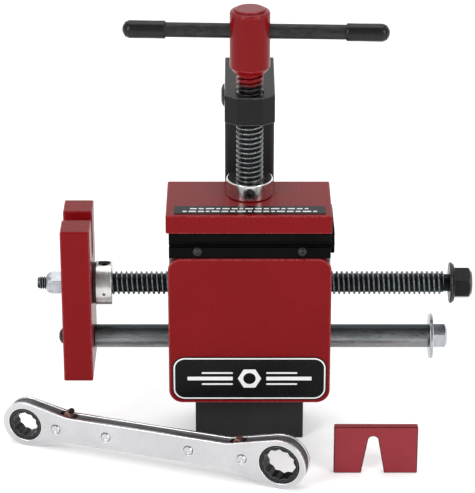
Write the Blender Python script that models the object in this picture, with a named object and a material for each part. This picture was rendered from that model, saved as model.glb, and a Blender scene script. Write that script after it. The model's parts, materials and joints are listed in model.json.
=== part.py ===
"""Bench-vise golf shaft puller with its ratchet wrench and slotted adapter plate.

Frame: metres, +Z up.  The origin is the centre of the tang's bottom face.  X runs along the
drive screw, towards its hex head, and -Y is the side with the front plate.

The clamp screw presses the jaw and its rubber pad on a golf shaft that lies along X.  The drive
screw turns in the nut inside the block and carries the yoke, which pushes the head off the shaft.
Both screws stand here at their threads' outer diameter; the thread is 6 to the inch, one start.
"""
import math

import bmesh
import bpy
from mathutils import Vector

MM = 0.001
GAP = 0.3 * MM              # between neighbouring solids
EXTRA = 1.0 * MM            # how far a cutter runs past the face that it cuts
ROUND = 32                  # sides of a large round piece
SMALL_ROUND = 20            # sides of a small round piece

# ---- driving sizes -------------------------------------------------------------------------
AXIS_Y = 7.0 * MM           # the plane of both screws, the guide rod, the yoke and the shaft

TANG_WIDTH = 91.5 * MM
TANG_DEPTH = 50.8 * MM
BLOCK_WIDTH = 133.0 * MM
BLOCK_DEPTH = 70.6 * MM
BLOCK_BOTTOM = 48.0 * MM
BLOCK_TOP = 175.0 * MM

PLATE_THICKNESS = 6.35 * MM
PLATE_BOTTOM = 42.7 * MM
PLATE_CORNER = 11.5 * MM
LABEL_SIDE = 3.0 * MM       # from the plate's side edges
LABEL_HEIGHT = 40.0 * MM
LABEL_MARGIN = 3.3 * MM     # from the plate's lower edge
LABEL_CORNER = 10.5 * MM
LABEL_THICKNESS = 0.4 * MM

DRIVE_DROP = 43.5 * MM      # the drive screw's axis lies this far below the block's top
DRIVE_RADIUS = 10.0 * MM
ROD_DROP = 50.0 * MM        # the guide rod's axis lies this far below the drive screw's
ROD_RADIUS = 10.0 * MM
RUNNING = 0.3 * MM          # radial play of a screw or rod in its nut or bush
NUT_RADIUS = 16.0 * MM
NUT_LENGTH = 45.0 * MM
BUSH_RADIUS = 13.0 * MM
BUSH_LENGTH = 20.0 * MM
BORE_CLEARANCE = 1.3 * MM   # radial room around a screw or rod between its nut and bush

YOKE_LEFT = -156.6 * MM
YOKE_THICKNESS = 24.6 * MM
YOKE_DEPTH = 69.4 * MM
YOKE_BOTTOM = 55.6 * MM
YOKE_STANDS = 18.0 * MM     # above the block's top
SLOT_WIDTH = 17.0 * MM
SLOT_ROOT = 23.5 * MM       # the slot's bottom, above the drive screw's axis

STUD_RADIUS = 5.65 * MM
STUD_END = -178.9 * MM
YOKE_BUSH_RADIUS = 8.5 * MM
WASHER_THICKNESS = 1.8 * MM
WASHER_RADIUS = 17.6 * MM
DRIVE_COLLAR_LENGTH = 14.0 * MM
DRIVE_COLLAR_RADIUS = 18.6 * MM
LOCK_NUT_LENGTH = 14.6 * MM
LOCK_NUT_FLATS = 18.3 * MM
DRIVE_SHOULDER = 163.5 * MM # right end of the drive screw's thread
NECK_RADIUS = 7.5 * MM
FLANGE_LEFT = 168.6 * MM
FLANGE_THICKNESS = 4.4 * MM
FLANGE_RADIUS = 17.5 * MM
HEAD_END = 187.8 * MM
HEAD_FLATS = 24.2 * MM

ROD_END = 152.7 * MM
STOP_WASHER_THICKNESS = 3.0 * MM
STOP_WASHER_RADIUS = 19.3 * MM
STOP_HEAD_LENGTH = 12.0 * MM
STOP_HEAD_FLATS = 19.4 * MM
STOP_SHANK_RADIUS = 6.2 * MM
STOP_SHANK_LENGTH = 25.0 * MM
BUTTON_RADIUS = 7.2 * MM
BUTTON_HEIGHT = 5.6 * MM
BUTTON_SHANK_RADIUS = 4.0 * MM
BUTTON_SHANK_REACH = 18.0 * MM   # into the rod's end

TRAY_BASE = 3.0 * MM
TRAY_LIP = 3.0 * MM
TRAY_HEIGHT = 9.6 * MM
PAD_THICKNESS = 7.3 * MM
PADS_APART = 0.4 * MM
PAD_OVERHANG = 2.0 * MM     # past the tray, on average, at each end
PAD_OFFSET = 1.6 * MM       # the pads' middle, from the screw's plane
GROOVE_HALF_WIDTH = 7.5 * MM
GROOVE_DEPTH = 5.0 * MM
TRAY_SCREW_X = 43.0 * MM
TRAY_SCREW_RADIUS = 4.0 * MM
TRAY_SCREW_HEIGHT = 2.0 * MM
TRAY_SCREW_SHANK = 1.8 * MM

JAW_FRONT = -40.0 * MM
JAW_CLEAR = 1.6 * MM        # between the jaw's back and the column
JAW_OVERHANG = 1.6 * MM     # past the block, on average, at each end
JAW_OFFSET = -0.8 * MM      # the jaw's middle, from the screw's plane
JAW_THICKNESS = 16.0 * MM
CARRIER_HEIGHT = 6.4 * MM
NOTICE_DEPTH = 15.5 * MM
NOTICE_MARGIN = 4.0 * MM    # from the jaw's front edge
NOTICE_THICKNESS = 0.3 * MM

COLUMN_WIDTH = 41.3 * MM
COLUMN_DEPTH = 55.8 * MM
COLUMN_WALL = 3.2 * MM
COLUMN_CORNER = 4.0 * MM
COLUMN_BOTTOM = 72.0 * MM
CAP_THICKNESS = 3.0 * MM
BAR_THICKNESS = 24.3 * MM
BAR_ABOVE_COLLAR = 51.1 * MM   # room for the jaw's lift
BAR_REACH = 14.5 * MM       # from the clamp screw's axis to the bar's front face
BAR_CHAMFER_X = 10.2 * MM
BAR_CHAMFER_Y = 8.1 * MM
LOCK_BOLT_BACK = 26.0 * MM  # behind the clamp screw's axis
LOCK_BOLT_RADIUS = 9.6 * MM
LOCK_BOLT_HEIGHT = 2.6 * MM
LOCK_BOLT_SHANK = 4.5 * MM
LOCK_BOLT_REACH = 7.0 * MM
BAR_SCREW_BACK = 57.0 * MM  # behind the clamp screw's axis
BAR_SCREW_HEAD = 8.0 * MM
BAR_SCREW_SINK = 8.0 * MM
BAR_SCREW_SHANK = 4.0 * MM

CLAMP_RADIUS = 11.2 * MM
CLAMP_COLLAR_RADIUS = 19.3 * MM
CLAMP_COLLAR_HEIGHT = 14.3 * MM
SET_SCREW_RADIUS = 4.7 * MM
SET_SCREW_SINK = 0.6 * MM
TIP_RADIUS = 6.0 * MM
RETAINER_RADIUS = 9.0 * MM
RETAINER_THICKNESS = 3.0 * MM
RETAINER_ROOM = 0.6 * MM    # play under and around the retainer
KNOB_RADIUS = 16.5 * MM
KNOB_ABOVE_BAR = 17.8 * MM
KNOB_HEIGHT = 52.6 * MM
KNOB_TAPER = 5.0 * MM
KNOB_SOCKET = 20.0 * MM
PLUG_RADIUS = 12.4 * MM
PLUG_DEPTH = 5.0 * MM
PLUG_STANDS = 1.6 * MM

HANDLE_DROP = 17.6 * MM     # the cross bar's axis, below the knob's top
HANDLE_RADIUS = 6.1 * MM
HANDLE_LEFT = -103.5 * MM
HANDLE_RIGHT = 113.0 * MM
HANDLE_TURN = math.radians(-2.5)
HANDLE_PLAY = 0.3 * MM
END_CAP_RADIUS = 7.4 * MM
END_CAP_LENGTH = 35.0 * MM
END_CAP_WALL = 2.5 * MM     # rubber past the bar's end

WRENCH_X = -190.0 * MM      # small ring, at the front face
WRENCH_Y = -39.0 * MM
WRENCH_TURN = math.radians(-19.07)
WRENCH_CENTRES = 226.4 * MM
SMALL_HEAD_RADIUS = 20.3 * MM
LARGE_HEAD_RADIUS = 22.6 * MM
WRENCH_THICKNESS = 13.5 * MM
SIDE_THICKNESS = 2.6 * MM
CORE_INSET = 1.4 * MM
GRIP_HEIGHT = 24.0 * MM
SMALL_NECK = 39.0 * MM
LARGE_NECK = 46.0 * MM
SMALL_WINDOW = 14.6 * MM
LARGE_WINDOW = 17.4 * MM
GEAR_STEP = 1.9 * MM        # the ring gear is this much larger than its window
SMALL_SOCKET_FLATS = 19.6 * MM
LARGE_SOCKET_FLATS = 24.6 * MM
RIVET_RADIUS = 3.9 * MM
RIVET_STANDS = 0.7 * MM
RIVET_SHANK = 2.4 * MM
SMALL_RIVETS = (28.0 * MM, 73.4 * MM)     # from the small ring's centre
LARGE_RIVETS = (79.4 * MM, 32.6 * MM)     # from the large ring's centre
PAWL_FROM_RING = 37.5 * MM
PAWL_LENGTH = 11.0 * MM
PAWL_STANDS = 4.0 * MM
PAWL_DEPTH = 7.5 * MM
PAWL_ROOM = 1.6 * MM

ADAPTER_X = 104.6 * MM
ADAPTER_Y = -86.2 * MM
ADAPTER_WIDTH = 69.5 * MM
ADAPTER_HEIGHT = 43.3 * MM
ADAPTER_THICKNESS = 6.35 * MM
NOTCH_X = -2.3 * MM         # the notch's centre, from the plate's
NOTCH_WIDTH = 19.2 * MM
NOTCH_TOP_RADIUS = 4.4 * MM
NOTCH_HEIGHT = 34.4 * MM

# ---- sizes that follow ---------------------------------------------------------------------
DRIVE_Z = BLOCK_TOP - DRIVE_DROP
ROD_Z = DRIVE_Z - ROD_DROP
PLATE_WIDTH = BLOCK_WIDTH + 2.0 * MM
PLATE_TOP = BLOCK_TOP + GAP
PLATE_BACK = -BLOCK_DEPTH / 2 - GAP
PLATE_FRONT = PLATE_BACK - PLATE_THICKNESS
LABEL_WIDTH = PLATE_WIDTH - 2 * LABEL_SIDE
YOKE_RIGHT = YOKE_LEFT + YOKE_THICKNESS
YOKE_TOP = BLOCK_TOP + YOKE_STANDS
SLOT_BOTTOM = DRIVE_Z + SLOT_ROOT
COLUMN_FRONT = BLOCK_DEPTH / 2 + GAP
COLUMN_BACK = COLUMN_FRONT + COLUMN_DEPTH
JAW_WIDTH = BLOCK_WIDTH + 2 * JAW_OVERHANG
JAW_BACK = COLUMN_FRONT - JAW_CLEAR
TRAY_WIDTH = BLOCK_WIDTH
PAD_WIDTH = TRAY_WIDTH + 2 * PAD_OVERHANG
NOTICE_WIDTH = BLOCK_WIDTH - 9.0 * MM
TRAY_BOTTOM = BLOCK_TOP + GAP
LOWER_PAD_BOTTOM = TRAY_BOTTOM + TRAY_BASE + GAP
LOWER_PAD_TOP = LOWER_PAD_BOTTOM + PAD_THICKNESS
UPPER_PAD_BOTTOM = LOWER_PAD_TOP + PADS_APART
UPPER_PAD_TOP = UPPER_PAD_BOTTOM + PAD_THICKNESS
CARRIER_TOP = UPPER_PAD_TOP + GAP + TRAY_BASE
JAW_BOTTOM = CARRIER_TOP + GAP
JAW_TOP = JAW_BOTTOM + JAW_THICKNESS
CLAMP_COLLAR_BOTTOM = JAW_TOP + GAP
BAR_BOTTOM = CLAMP_COLLAR_BOTTOM + CLAMP_COLLAR_HEIGHT + BAR_ABOVE_COLLAR
BAR_TOP = BAR_BOTTOM + BAR_THICKNESS
COLUMN_TOP = BAR_BOTTOM - GAP
KNOB_BOTTOM = BAR_TOP + KNOB_ABOVE_BAR
KNOB_TOP = KNOB_BOTTOM + KNOB_HEIGHT
HANDLE_Z = KNOB_TOP - HANDLE_DROP


# ---- making shapes -------------------------------------------------------------------------
def material(name, colour, roughness, metallic=0.0):
    """A Principled material of one colour."""
    made = bpy.data.materials.new(name)
    made.use_nodes = True
    shader = made.node_tree.nodes["Principled BSDF"]
    shader.inputs["Base Color"].default_value = (*colour, 1.0)
    shader.inputs["Roughness"].default_value = roughness
    shader.inputs["Metallic"].default_value = metallic
    return made


def pivot(name, at, parent=None, rotation=(0.0, 0.0, 0.0)):
    """An empty on a joint's axis, which its body's pieces hang on."""
    empty = bpy.data.objects.new(name, None)
    bpy.context.collection.objects.link(empty)
    empty.parent = parent
    empty.location = at
    empty.rotation_euler = rotation
    return empty


def finish(mesh, name, parent, finish_material, smooth_angle=35.0):
    """Put a bmesh into a named object under its body's empty."""
    bmesh.ops.remove_doubles(mesh, verts=mesh.verts, dist=1e-7)
    bmesh.ops.recalc_face_normals(mesh, faces=mesh.faces)
    data = bpy.data.meshes.new(name)
    mesh.to_mesh(data)
    mesh.free()
    data.shade_smooth()
    data.set_sharp_from_angle(angle=math.radians(smooth_angle))
    if finish_material:
        data.materials.append(finish_material)
    piece = bpy.data.objects.new(name, data)
    bpy.context.collection.objects.link(piece)
    piece.parent = parent
    return piece


def turned(name, profile, finish_material, parent, along="Z", sides=ROUND, closed=False):
    """Spin (height, radius) points about the local Z axis, then lay that axis along X or Y.

    An open profile starts and ends on the axis.  A closed one is a ring's section.
    """
    mesh = bmesh.new()
    points = [mesh.verts.new((radius, 0.0, height)) for height, radius in profile]
    pairs = list(zip(points, points[1:]))
    if closed:
        pairs.append((points[-1], points[0]))
    edges = [mesh.edges.new(pair) for pair in pairs]
    bmesh.ops.spin(mesh, geom=points + edges, cent=(0, 0, 0), axis=(0, 0, 1),
                   angle=2 * math.pi, steps=sides, use_merge=True)
    piece = finish(mesh, name, parent, finish_material)
    if along == "X":
        piece.rotation_euler = (0.0, math.pi / 2, 0.0)
    if along == "Y":
        piece.rotation_euler = (-math.pi / 2, 0.0, 0.0)
    return piece


def rod(start, end, radius, chamfer=0.0):
    """Profile of a plain round bar with chamfered ends."""
    if not chamfer:
        return [(start, 0.0), (start, radius), (end, radius), (end, 0.0)]
    return [(start, 0.0), (start, radius - chamfer), (start + chamfer, radius),
            (end - chamfer, radius), (end, radius - chamfer), (end, 0.0)]


def ring(start, end, bore, radius, chamfer=0.0):
    """Section of a ring, for a closed spin."""
    if not chamfer:
        return [(start, bore), (start, radius), (end, radius), (end, bore)]
    return [(start, bore), (start, radius - chamfer), (start + chamfer, radius),
            (end - chamfer, radius), (end, radius - chamfer), (end, bore)]


def extruded(name, outline, start, end, finish_material, parent, along="Z"):
    """Extrude an outline from start to end.

    The outline's points are (x, y) for Z, (y, z) for X and (x, z) for Y.
    """
    place = {"Z": lambda a, b, c: (a, b, c), "X": lambda a, b, c: (c, a, b),
             "Y": lambda a, b, c: (a, c, b)}[along]
    mesh = bmesh.new()
    face = mesh.faces.new([mesh.verts.new(place(a, b, start)) for a, b in outline])
    moved = bmesh.ops.extrude_face_region(mesh, geom=[face])
    shift = Vector(place(0.0, 0.0, end - start))
    raised = [item for item in moved["geom"] if isinstance(item, bmesh.types.BMVert)]
    bmesh.ops.translate(mesh, verts=raised, vec=shift)
    return finish(mesh, name, parent, finish_material)


def rectangle(low, high):
    """Corners of a rectangle."""
    return [low, (high[0], low[1]), high, (low[0], high[1])]


def arc(centre, radius, start, end, steps):
    """Points on an arc, both ends included, angles in degrees."""
    angles = [math.radians(start + (end - start) * i / steps) for i in range(steps + 1)]
    return [(centre[0] + radius * math.cos(a), centre[1] + radius * math.sin(a)) for a in angles]


def rounded(low, high, radius, steps=5):
    """A rectangle with round corners."""
    points = []
    corners = [(high[0] - radius, high[1] - radius), (low[0] + radius, high[1] - radius),
               (low[0] + radius, low[1] + radius), (high[0] - radius, low[1] + radius)]
    for quarter, centre in enumerate(corners):
        points += arc(centre, radius, 90 * quarter, 90 * quarter + 90, steps)
    return points


def hexagon(flats):
    """A hexagon with two corners up and down."""
    corner = flats / math.sqrt(3)
    return arc((0.0, 0.0), corner, 90, 390, 5)


def cut(piece, *cutters):
    """Take each cutter out of a piece, and hide the cutter."""
    for cutter in cutters:
        cutter.hide_render = True
        cutter.display_type = "WIRE"
        taken = piece.modifiers.new("cut " + cutter.name, "BOOLEAN")
        taken.operation = "DIFFERENCE"
        taken.solver = "EXACT"
        taken.object = cutter


def soften(piece, width, angle=40.0):
    """Bevel the edges of a piece that are sharper than the angle."""
    bevel = piece.modifiers.new("edge", "BEVEL")
    bevel.width = width
    bevel.segments = 1
    bevel.limit_method = "ANGLE"
    bevel.angle_limit = math.radians(angle)


# ---- the fixed frame -----------------------------------------------------------------------
def make_block(frame, finishes):
    """The solid block, bored for the drive nut, the guide bushes and the screw and rod."""
    block = extruded("main_block", rectangle((-BLOCK_WIDTH / 2, -BLOCK_DEPTH / 2),
                                             (BLOCK_WIDTH / 2, BLOCK_DEPTH / 2)),
                     BLOCK_BOTTOM, BLOCK_TOP, finishes["machined steel"], frame)
    soften(block, 0.6 * MM)
    side = BLOCK_WIDTH / 2
    drive = (0.0, AXIS_Y, DRIVE_Z)
    guide = (0.0, AXIS_Y, ROD_Z)
    bores = [("drive_bore", drive, DRIVE_RADIUS, NUT_RADIUS, NUT_LENGTH),
             ("rod_bore", guide, ROD_RADIUS, BUSH_RADIUS, BUSH_LENGTH)]
    for name, at, shaft, left_radius, left_length in bores:
        left_end = -side + left_length + 2 * GAP
        right_end = side - BUSH_LENGTH - 2 * GAP
        way = shaft + BORE_CLEARANCE
        bore = turned(name,
                      [(-side - EXTRA, 0.0), (-side - EXTRA, left_radius + GAP),
                       (left_end, left_radius + GAP), (left_end, way), (right_end, way),
                       (right_end, BUSH_RADIUS + GAP), (side + EXTRA, BUSH_RADIUS + GAP),
                       (side + EXTRA, 0.0)],
                      None, frame, along="X")
        bore.location = at
        cut(block, bore)

    nut = turned("drive_nut", ring(-side + GAP, -side + GAP + NUT_LENGTH,
                                   DRIVE_RADIUS + RUNNING, NUT_RADIUS, 0.8 * MM),
                 finishes["bronze"], frame, along="X", closed=True)
    nut.location = drive
    bushes = [("drive_bush", drive, side - BUSH_LENGTH - GAP, DRIVE_RADIUS),
              ("rod_bush_left", guide, -side + GAP, ROD_RADIUS),
              ("rod_bush_right", guide, side - BUSH_LENGTH - GAP, ROD_RADIUS)]
    for name, at, start, shaft in bushes:
        bush = turned(name, ring(start, start + BUSH_LENGTH, shaft + RUNNING, BUSH_RADIUS,
                                 0.6 * MM),
                      finishes["bronze"], frame, along="X", closed=True)
        bush.location = at


def make_front(frame, finishes):
    """The tang that the vise holds, the painted front plate and its label."""
    tang = extruded("base_tang", rectangle((-TANG_WIDTH / 2, -TANG_DEPTH / 2),
                                           (TANG_WIDTH / 2, TANG_DEPTH / 2)),
                    0.0, BLOCK_BOTTOM - GAP, finishes["black paint"], frame)
    soften(tang, 0.6 * MM)
    plate = extruded("front_plate", rounded((-PLATE_WIDTH / 2, PLATE_BOTTOM),
                                            (PLATE_WIDTH / 2, PLATE_TOP), PLATE_CORNER, 6),
                     PLATE_FRONT, PLATE_BACK, finishes["red paint"], frame, along="Y")
    soften(plate, 0.8 * MM, 60.0)
    bottom = PLATE_BOTTOM + LABEL_MARGIN
    extruded("front_label", rounded((-LABEL_WIDTH / 2, bottom),
                                    (LABEL_WIDTH / 2, bottom + LABEL_HEIGHT), LABEL_CORNER),
             PLATE_FRONT - GAP - LABEL_THICKNESS, PLATE_FRONT - GAP,
             finishes["label film"], frame, along="Y")


def make_column(frame, finishes):
    """The column behind the block, and the bar on it that the clamp screw is threaded into."""
    half = COLUMN_WIDTH / 2
    column = extruded("column_tube", rounded((-half, COLUMN_FRONT), (half, COLUMN_BACK),
                                             COLUMN_CORNER, 3),
                      COLUMN_BOTTOM, COLUMN_TOP, finishes["black paint"], frame)
    inside = extruded("column_inside",
                      rounded((-half + COLUMN_WALL, COLUMN_FRONT + COLUMN_WALL),
                              (half - COLUMN_WALL, COLUMN_BACK - COLUMN_WALL),
                              COLUMN_CORNER - COLUMN_WALL, 3),
                      COLUMN_BOTTOM - EXTRA, COLUMN_TOP + EXTRA, None, frame)
    cut(column, inside)
    cap_top = COLUMN_BOTTOM - GAP
    extruded("column_cap", rounded((-half, COLUMN_FRONT), (half, COLUMN_BACK), COLUMN_CORNER, 3),
             cap_top - CAP_THICKNESS, cap_top, finishes["black plastic"], frame)

    front = AXIS_Y - BAR_REACH
    outline = [(-half + BAR_CHAMFER_X, front), (half - BAR_CHAMFER_X, front),
               (half, front + BAR_CHAMFER_Y), (half, COLUMN_BACK), (-half, COLUMN_BACK),
               (-half, front + BAR_CHAMFER_Y)]
    bar = extruded("top_bar", outline, BAR_BOTTOM, BAR_TOP, finishes["black paint"], frame)
    soften(bar, 0.5 * MM, 30.0)
    way = turned("clamp_way", rod(BAR_BOTTOM - EXTRA, BAR_TOP + EXTRA, CLAMP_RADIUS + RUNNING),
                 None, frame)
    way.location = (0.0, AXIS_Y, 0.0)

    bolt_at = (-half, AXIS_Y + LOCK_BOLT_BACK, (BAR_BOTTOM + BAR_TOP) / 2)
    bolt = turned("bar_lock_bolt",
                  [(-GAP - LOCK_BOLT_HEIGHT, 0.0), (-GAP - LOCK_BOLT_HEIGHT, LOCK_BOLT_RADIUS * 0.6),
                   (-GAP - LOCK_BOLT_HEIGHT * 0.55, LOCK_BOLT_RADIUS * 0.9),
                   (-GAP, LOCK_BOLT_RADIUS), (-GAP, LOCK_BOLT_SHANK),
                   (LOCK_BOLT_REACH, LOCK_BOLT_SHANK), (LOCK_BOLT_REACH, 0.0)],
                  finishes["black oxide"], frame, along="X", sides=SMALL_ROUND)
    bolt.location = bolt_at
    bolt_hole = turned("bolt_hole", rod(-EXTRA, LOCK_BOLT_REACH + GAP, LOCK_BOLT_SHANK + GAP),
                       None, frame, along="X", sides=SMALL_ROUND)
    bolt_hole.location = bolt_at

    screw_at = (0.0, AXIS_Y + BAR_SCREW_BACK, BAR_TOP)
    screw = turned("bar_screw",
                   [(-BAR_THICKNESS - COLUMN_WALL, 0.0),
                    (-BAR_THICKNESS - COLUMN_WALL, BAR_SCREW_SHANK),
                    (-BAR_SCREW_SINK, BAR_SCREW_SHANK), (-BAR_SCREW_SINK, BAR_SCREW_HEAD),
                    (-GAP, BAR_SCREW_HEAD), (-GAP, 0.0)],
                   finishes["black oxide"], frame, sides=SMALL_ROUND)
    screw.location = screw_at
    screw_hole = turned("screw_hole",
                        [(-BAR_THICKNESS - EXTRA, 0.0),
                         (-BAR_THICKNESS - EXTRA, BAR_SCREW_SHANK + GAP),
                         (-BAR_SCREW_SINK - GAP, BAR_SCREW_SHANK + GAP),
                         (-BAR_SCREW_SINK - GAP, BAR_SCREW_HEAD + GAP),
                         (EXTRA, BAR_SCREW_HEAD + GAP), (EXTRA, 0.0)],
                        None, frame, sides=SMALL_ROUND)
    screw_hole.location = screw_at
    cut(bar, way, bolt_hole, screw_hole)


def groove_outline(low, high, face, inward):
    """Section of a pad between two Y values: a V groove opens in its face, on the shaft plane."""
    back = face + inward * PAD_THICKNESS
    return [(low, back), (high, back), (high, face), (AXIS_Y + GROOVE_HALF_WIDTH, face),
            (AXIS_Y, face + inward * GROOVE_DEPTH), (AXIS_Y - GROOVE_HALF_WIDTH, face),
            (low, face)]


def channel_outline(base, lip_end, thickness_towards):
    """Section of a tray from the jaw's front edge to its back edge, with a lip at each."""
    floor = base + thickness_towards * TRAY_BASE
    return [(JAW_FRONT, base), (JAW_BACK, base), (JAW_BACK, lip_end),
            (JAW_BACK - TRAY_LIP, lip_end), (JAW_BACK - TRAY_LIP, floor),
            (JAW_FRONT + TRAY_LIP, floor), (JAW_FRONT + TRAY_LIP, lip_end), (JAW_FRONT, lip_end)]


def make_tray(frame, finishes):
    """The lower tray on the block, its rubber pad and the two screws in its front lip."""
    half = TRAY_WIDTH / 2
    tray = extruded("lower_tray",
                    channel_outline(TRAY_BOTTOM, TRAY_BOTTOM + TRAY_HEIGHT, 1),
                    -half, half, finishes["black paint"], frame, along="X")
    pad_low = JAW_FRONT + TRAY_LIP + GAP
    pad_high = JAW_BACK - TRAY_LIP - GAP
    pad = extruded("lower_pad", groove_outline(pad_low, pad_high, LOWER_PAD_TOP, -1),
                   PAD_OFFSET - PAD_WIDTH / 2, PAD_OFFSET + PAD_WIDTH / 2, finishes["rubber"],
                   frame, along="X")
    for name, x in (("tray_screw_left", -TRAY_SCREW_X), ("tray_screw_right", TRAY_SCREW_X)):
        at = (x, JAW_FRONT, TRAY_BOTTOM + TRAY_HEIGHT / 2 + TRAY_BASE / 2)
        reach = TRAY_LIP + 2 * GAP
        screw = turned(name,
                       [(-GAP - TRAY_SCREW_HEIGHT, 0.0),
                        (-GAP - TRAY_SCREW_HEIGHT, TRAY_SCREW_RADIUS * 0.7),
                        (-GAP, TRAY_SCREW_RADIUS), (-GAP, TRAY_SCREW_SHANK),
                        (reach, TRAY_SCREW_SHANK), (reach, 0.0)],
                       finishes["black oxide"], frame, along="Y", sides=16)
        screw.location = at
        hole = turned(name + "_hole", rod(-EXTRA, reach + GAP, TRAY_SCREW_SHANK + GAP),
                      None, frame, along="Y", sides=16)
        hole.location = at
        cut(tray, hole)
        cut(pad, hole)


# ---- the clamp -----------------------------------------------------------------------------
def make_jaw(jaw, finishes):
    """The painted upper jaw with its pad, pad carrier and notice strip."""
    half = JAW_WIDTH / 2
    block = extruded("upper_jaw",
                     rectangle((JAW_OFFSET - half, JAW_FRONT), (JAW_OFFSET + half, JAW_BACK)),
                     JAW_BOTTOM, JAW_TOP, finishes["red paint"], jaw)
    soften(block, 0.8 * MM)
    tip_way = turned("tip_way",
                     [(JAW_BOTTOM - EXTRA, 0.0),
                      (JAW_BOTTOM - EXTRA, RETAINER_RADIUS + RETAINER_ROOM),
                      (JAW_BOTTOM + RETAINER_THICKNESS + 2 * RETAINER_ROOM,
                       RETAINER_RADIUS + RETAINER_ROOM),
                      (JAW_BOTTOM + RETAINER_THICKNESS + 2 * RETAINER_ROOM, TIP_RADIUS + RUNNING),
                      (JAW_TOP + EXTRA, TIP_RADIUS + RUNNING), (JAW_TOP + EXTRA, 0.0)],
                     None, jaw)
    tip_way.location = (0.0, AXIS_Y, 0.0)
    cut(block, tip_way)

    extruded("upper_carrier", channel_outline(CARRIER_TOP, CARRIER_TOP - CARRIER_HEIGHT, -1),
             -TRAY_WIDTH / 2, TRAY_WIDTH / 2, finishes["black paint"], jaw, along="X")
    pad_low = JAW_FRONT + TRAY_LIP + GAP
    pad_high = JAW_BACK - TRAY_LIP - GAP
    extruded("upper_pad", groove_outline(pad_low, pad_high, UPPER_PAD_BOTTOM, 1),
             PAD_OFFSET - PAD_WIDTH / 2, PAD_OFFSET + PAD_WIDTH / 2, finishes["rubber"], jaw,
             along="X")
    front = JAW_FRONT + NOTICE_MARGIN
    extruded("jaw_label", rounded((-NOTICE_WIDTH / 2, front),
                                  (NOTICE_WIDTH / 2, front + NOTICE_DEPTH), 1.5 * MM, 2),
             JAW_TOP + GAP, JAW_TOP + GAP + NOTICE_THICKNESS, finishes["label film"], jaw)


def make_clamp_screw(clamp, finishes):
    """The vertical screw, its collar, retainer and knob."""
    retainer_bottom = JAW_BOTTOM + RETAINER_ROOM
    screw_top = KNOB_BOTTOM + KNOB_SOCKET - GAP
    shoulder = CLAMP_COLLAR_BOTTOM
    turned("clamp_screw",
           [(retainer_bottom, 0.0), (retainer_bottom, TIP_RADIUS), (shoulder, TIP_RADIUS),
            (shoulder, CLAMP_RADIUS), (screw_top, CLAMP_RADIUS), (screw_top, 0.0)],
           finishes["black oxide"], clamp)
    turned("tip_retainer",
           ring(retainer_bottom, retainer_bottom + RETAINER_THICKNESS, TIP_RADIUS + GAP,
                RETAINER_RADIUS), finishes["machined steel"], clamp, closed=True)
    collar_top = CLAMP_COLLAR_BOTTOM + CLAMP_COLLAR_HEIGHT
    collar = turned("clamp_collar",
                    ring(CLAMP_COLLAR_BOTTOM, collar_top, CLAMP_RADIUS + GAP,
                         CLAMP_COLLAR_RADIUS, 0.7 * MM),
                    finishes["machined steel"], clamp, closed=True)
    middle = (CLAMP_COLLAR_BOTTOM + collar_top) / 2
    set_screw = turned("collar_set_screw",
                       rod(-CLAMP_COLLAR_RADIUS + SET_SCREW_SINK,
                           -CLAMP_RADIUS - 2 * GAP, SET_SCREW_RADIUS, 0.5 * MM),
                       finishes["black oxide"], clamp, along="Y", sides=SMALL_ROUND)
    set_screw.location = (0.0, 0.0, middle)
    hole = turned("set_screw_hole", rod(-CLAMP_COLLAR_RADIUS - EXTRA, 0.0, SET_SCREW_RADIUS + GAP),
                  None, clamp, along="Y", sides=SMALL_ROUND)
    hole.location = (0.0, 0.0, middle)
    cut(collar, hole)

    knob = turned("clamp_knob",
                  [(KNOB_BOTTOM + KNOB_SOCKET, 0.0),
                   (KNOB_BOTTOM + KNOB_SOCKET, CLAMP_RADIUS + GAP),
                   (KNOB_BOTTOM, CLAMP_RADIUS + GAP), (KNOB_BOTTOM, CLAMP_RADIUS + 5 * GAP),
                   (KNOB_BOTTOM + KNOB_TAPER, KNOB_RADIUS),
                   (KNOB_TOP - 2.0 * MM, KNOB_RADIUS),
                   (KNOB_TOP - 0.6 * MM, KNOB_RADIUS - 0.6 * MM), (KNOB_TOP, KNOB_RADIUS - 2.0 * MM),
                   (KNOB_TOP, PLUG_RADIUS + GAP), (KNOB_TOP - PLUG_DEPTH, PLUG_RADIUS + GAP),
                   (KNOB_TOP - PLUG_DEPTH, 0.0)],
                  finishes["red paint"], clamp)
    across = turned("handle_way", rod(-KNOB_RADIUS - EXTRA, KNOB_RADIUS + EXTRA,
                                      HANDLE_RADIUS + HANDLE_PLAY), None, clamp, along="X")
    across.location = (0.0, 0.0, HANDLE_Z)
    across.rotation_euler = (0.0, math.pi / 2, HANDLE_TURN)
    cut(knob, across)
    turned("knob_plug",
           [(KNOB_TOP - PLUG_DEPTH + GAP, 0.0), (KNOB_TOP - PLUG_DEPTH + GAP, PLUG_RADIUS),
            (KNOB_TOP + PLUG_STANDS - 1.2 * MM, PLUG_RADIUS),
            (KNOB_TOP + PLUG_STANDS, PLUG_RADIUS - 1.2 * MM), (KNOB_TOP + PLUG_STANDS, 0.0)],
           finishes["red paint"], clamp)


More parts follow.
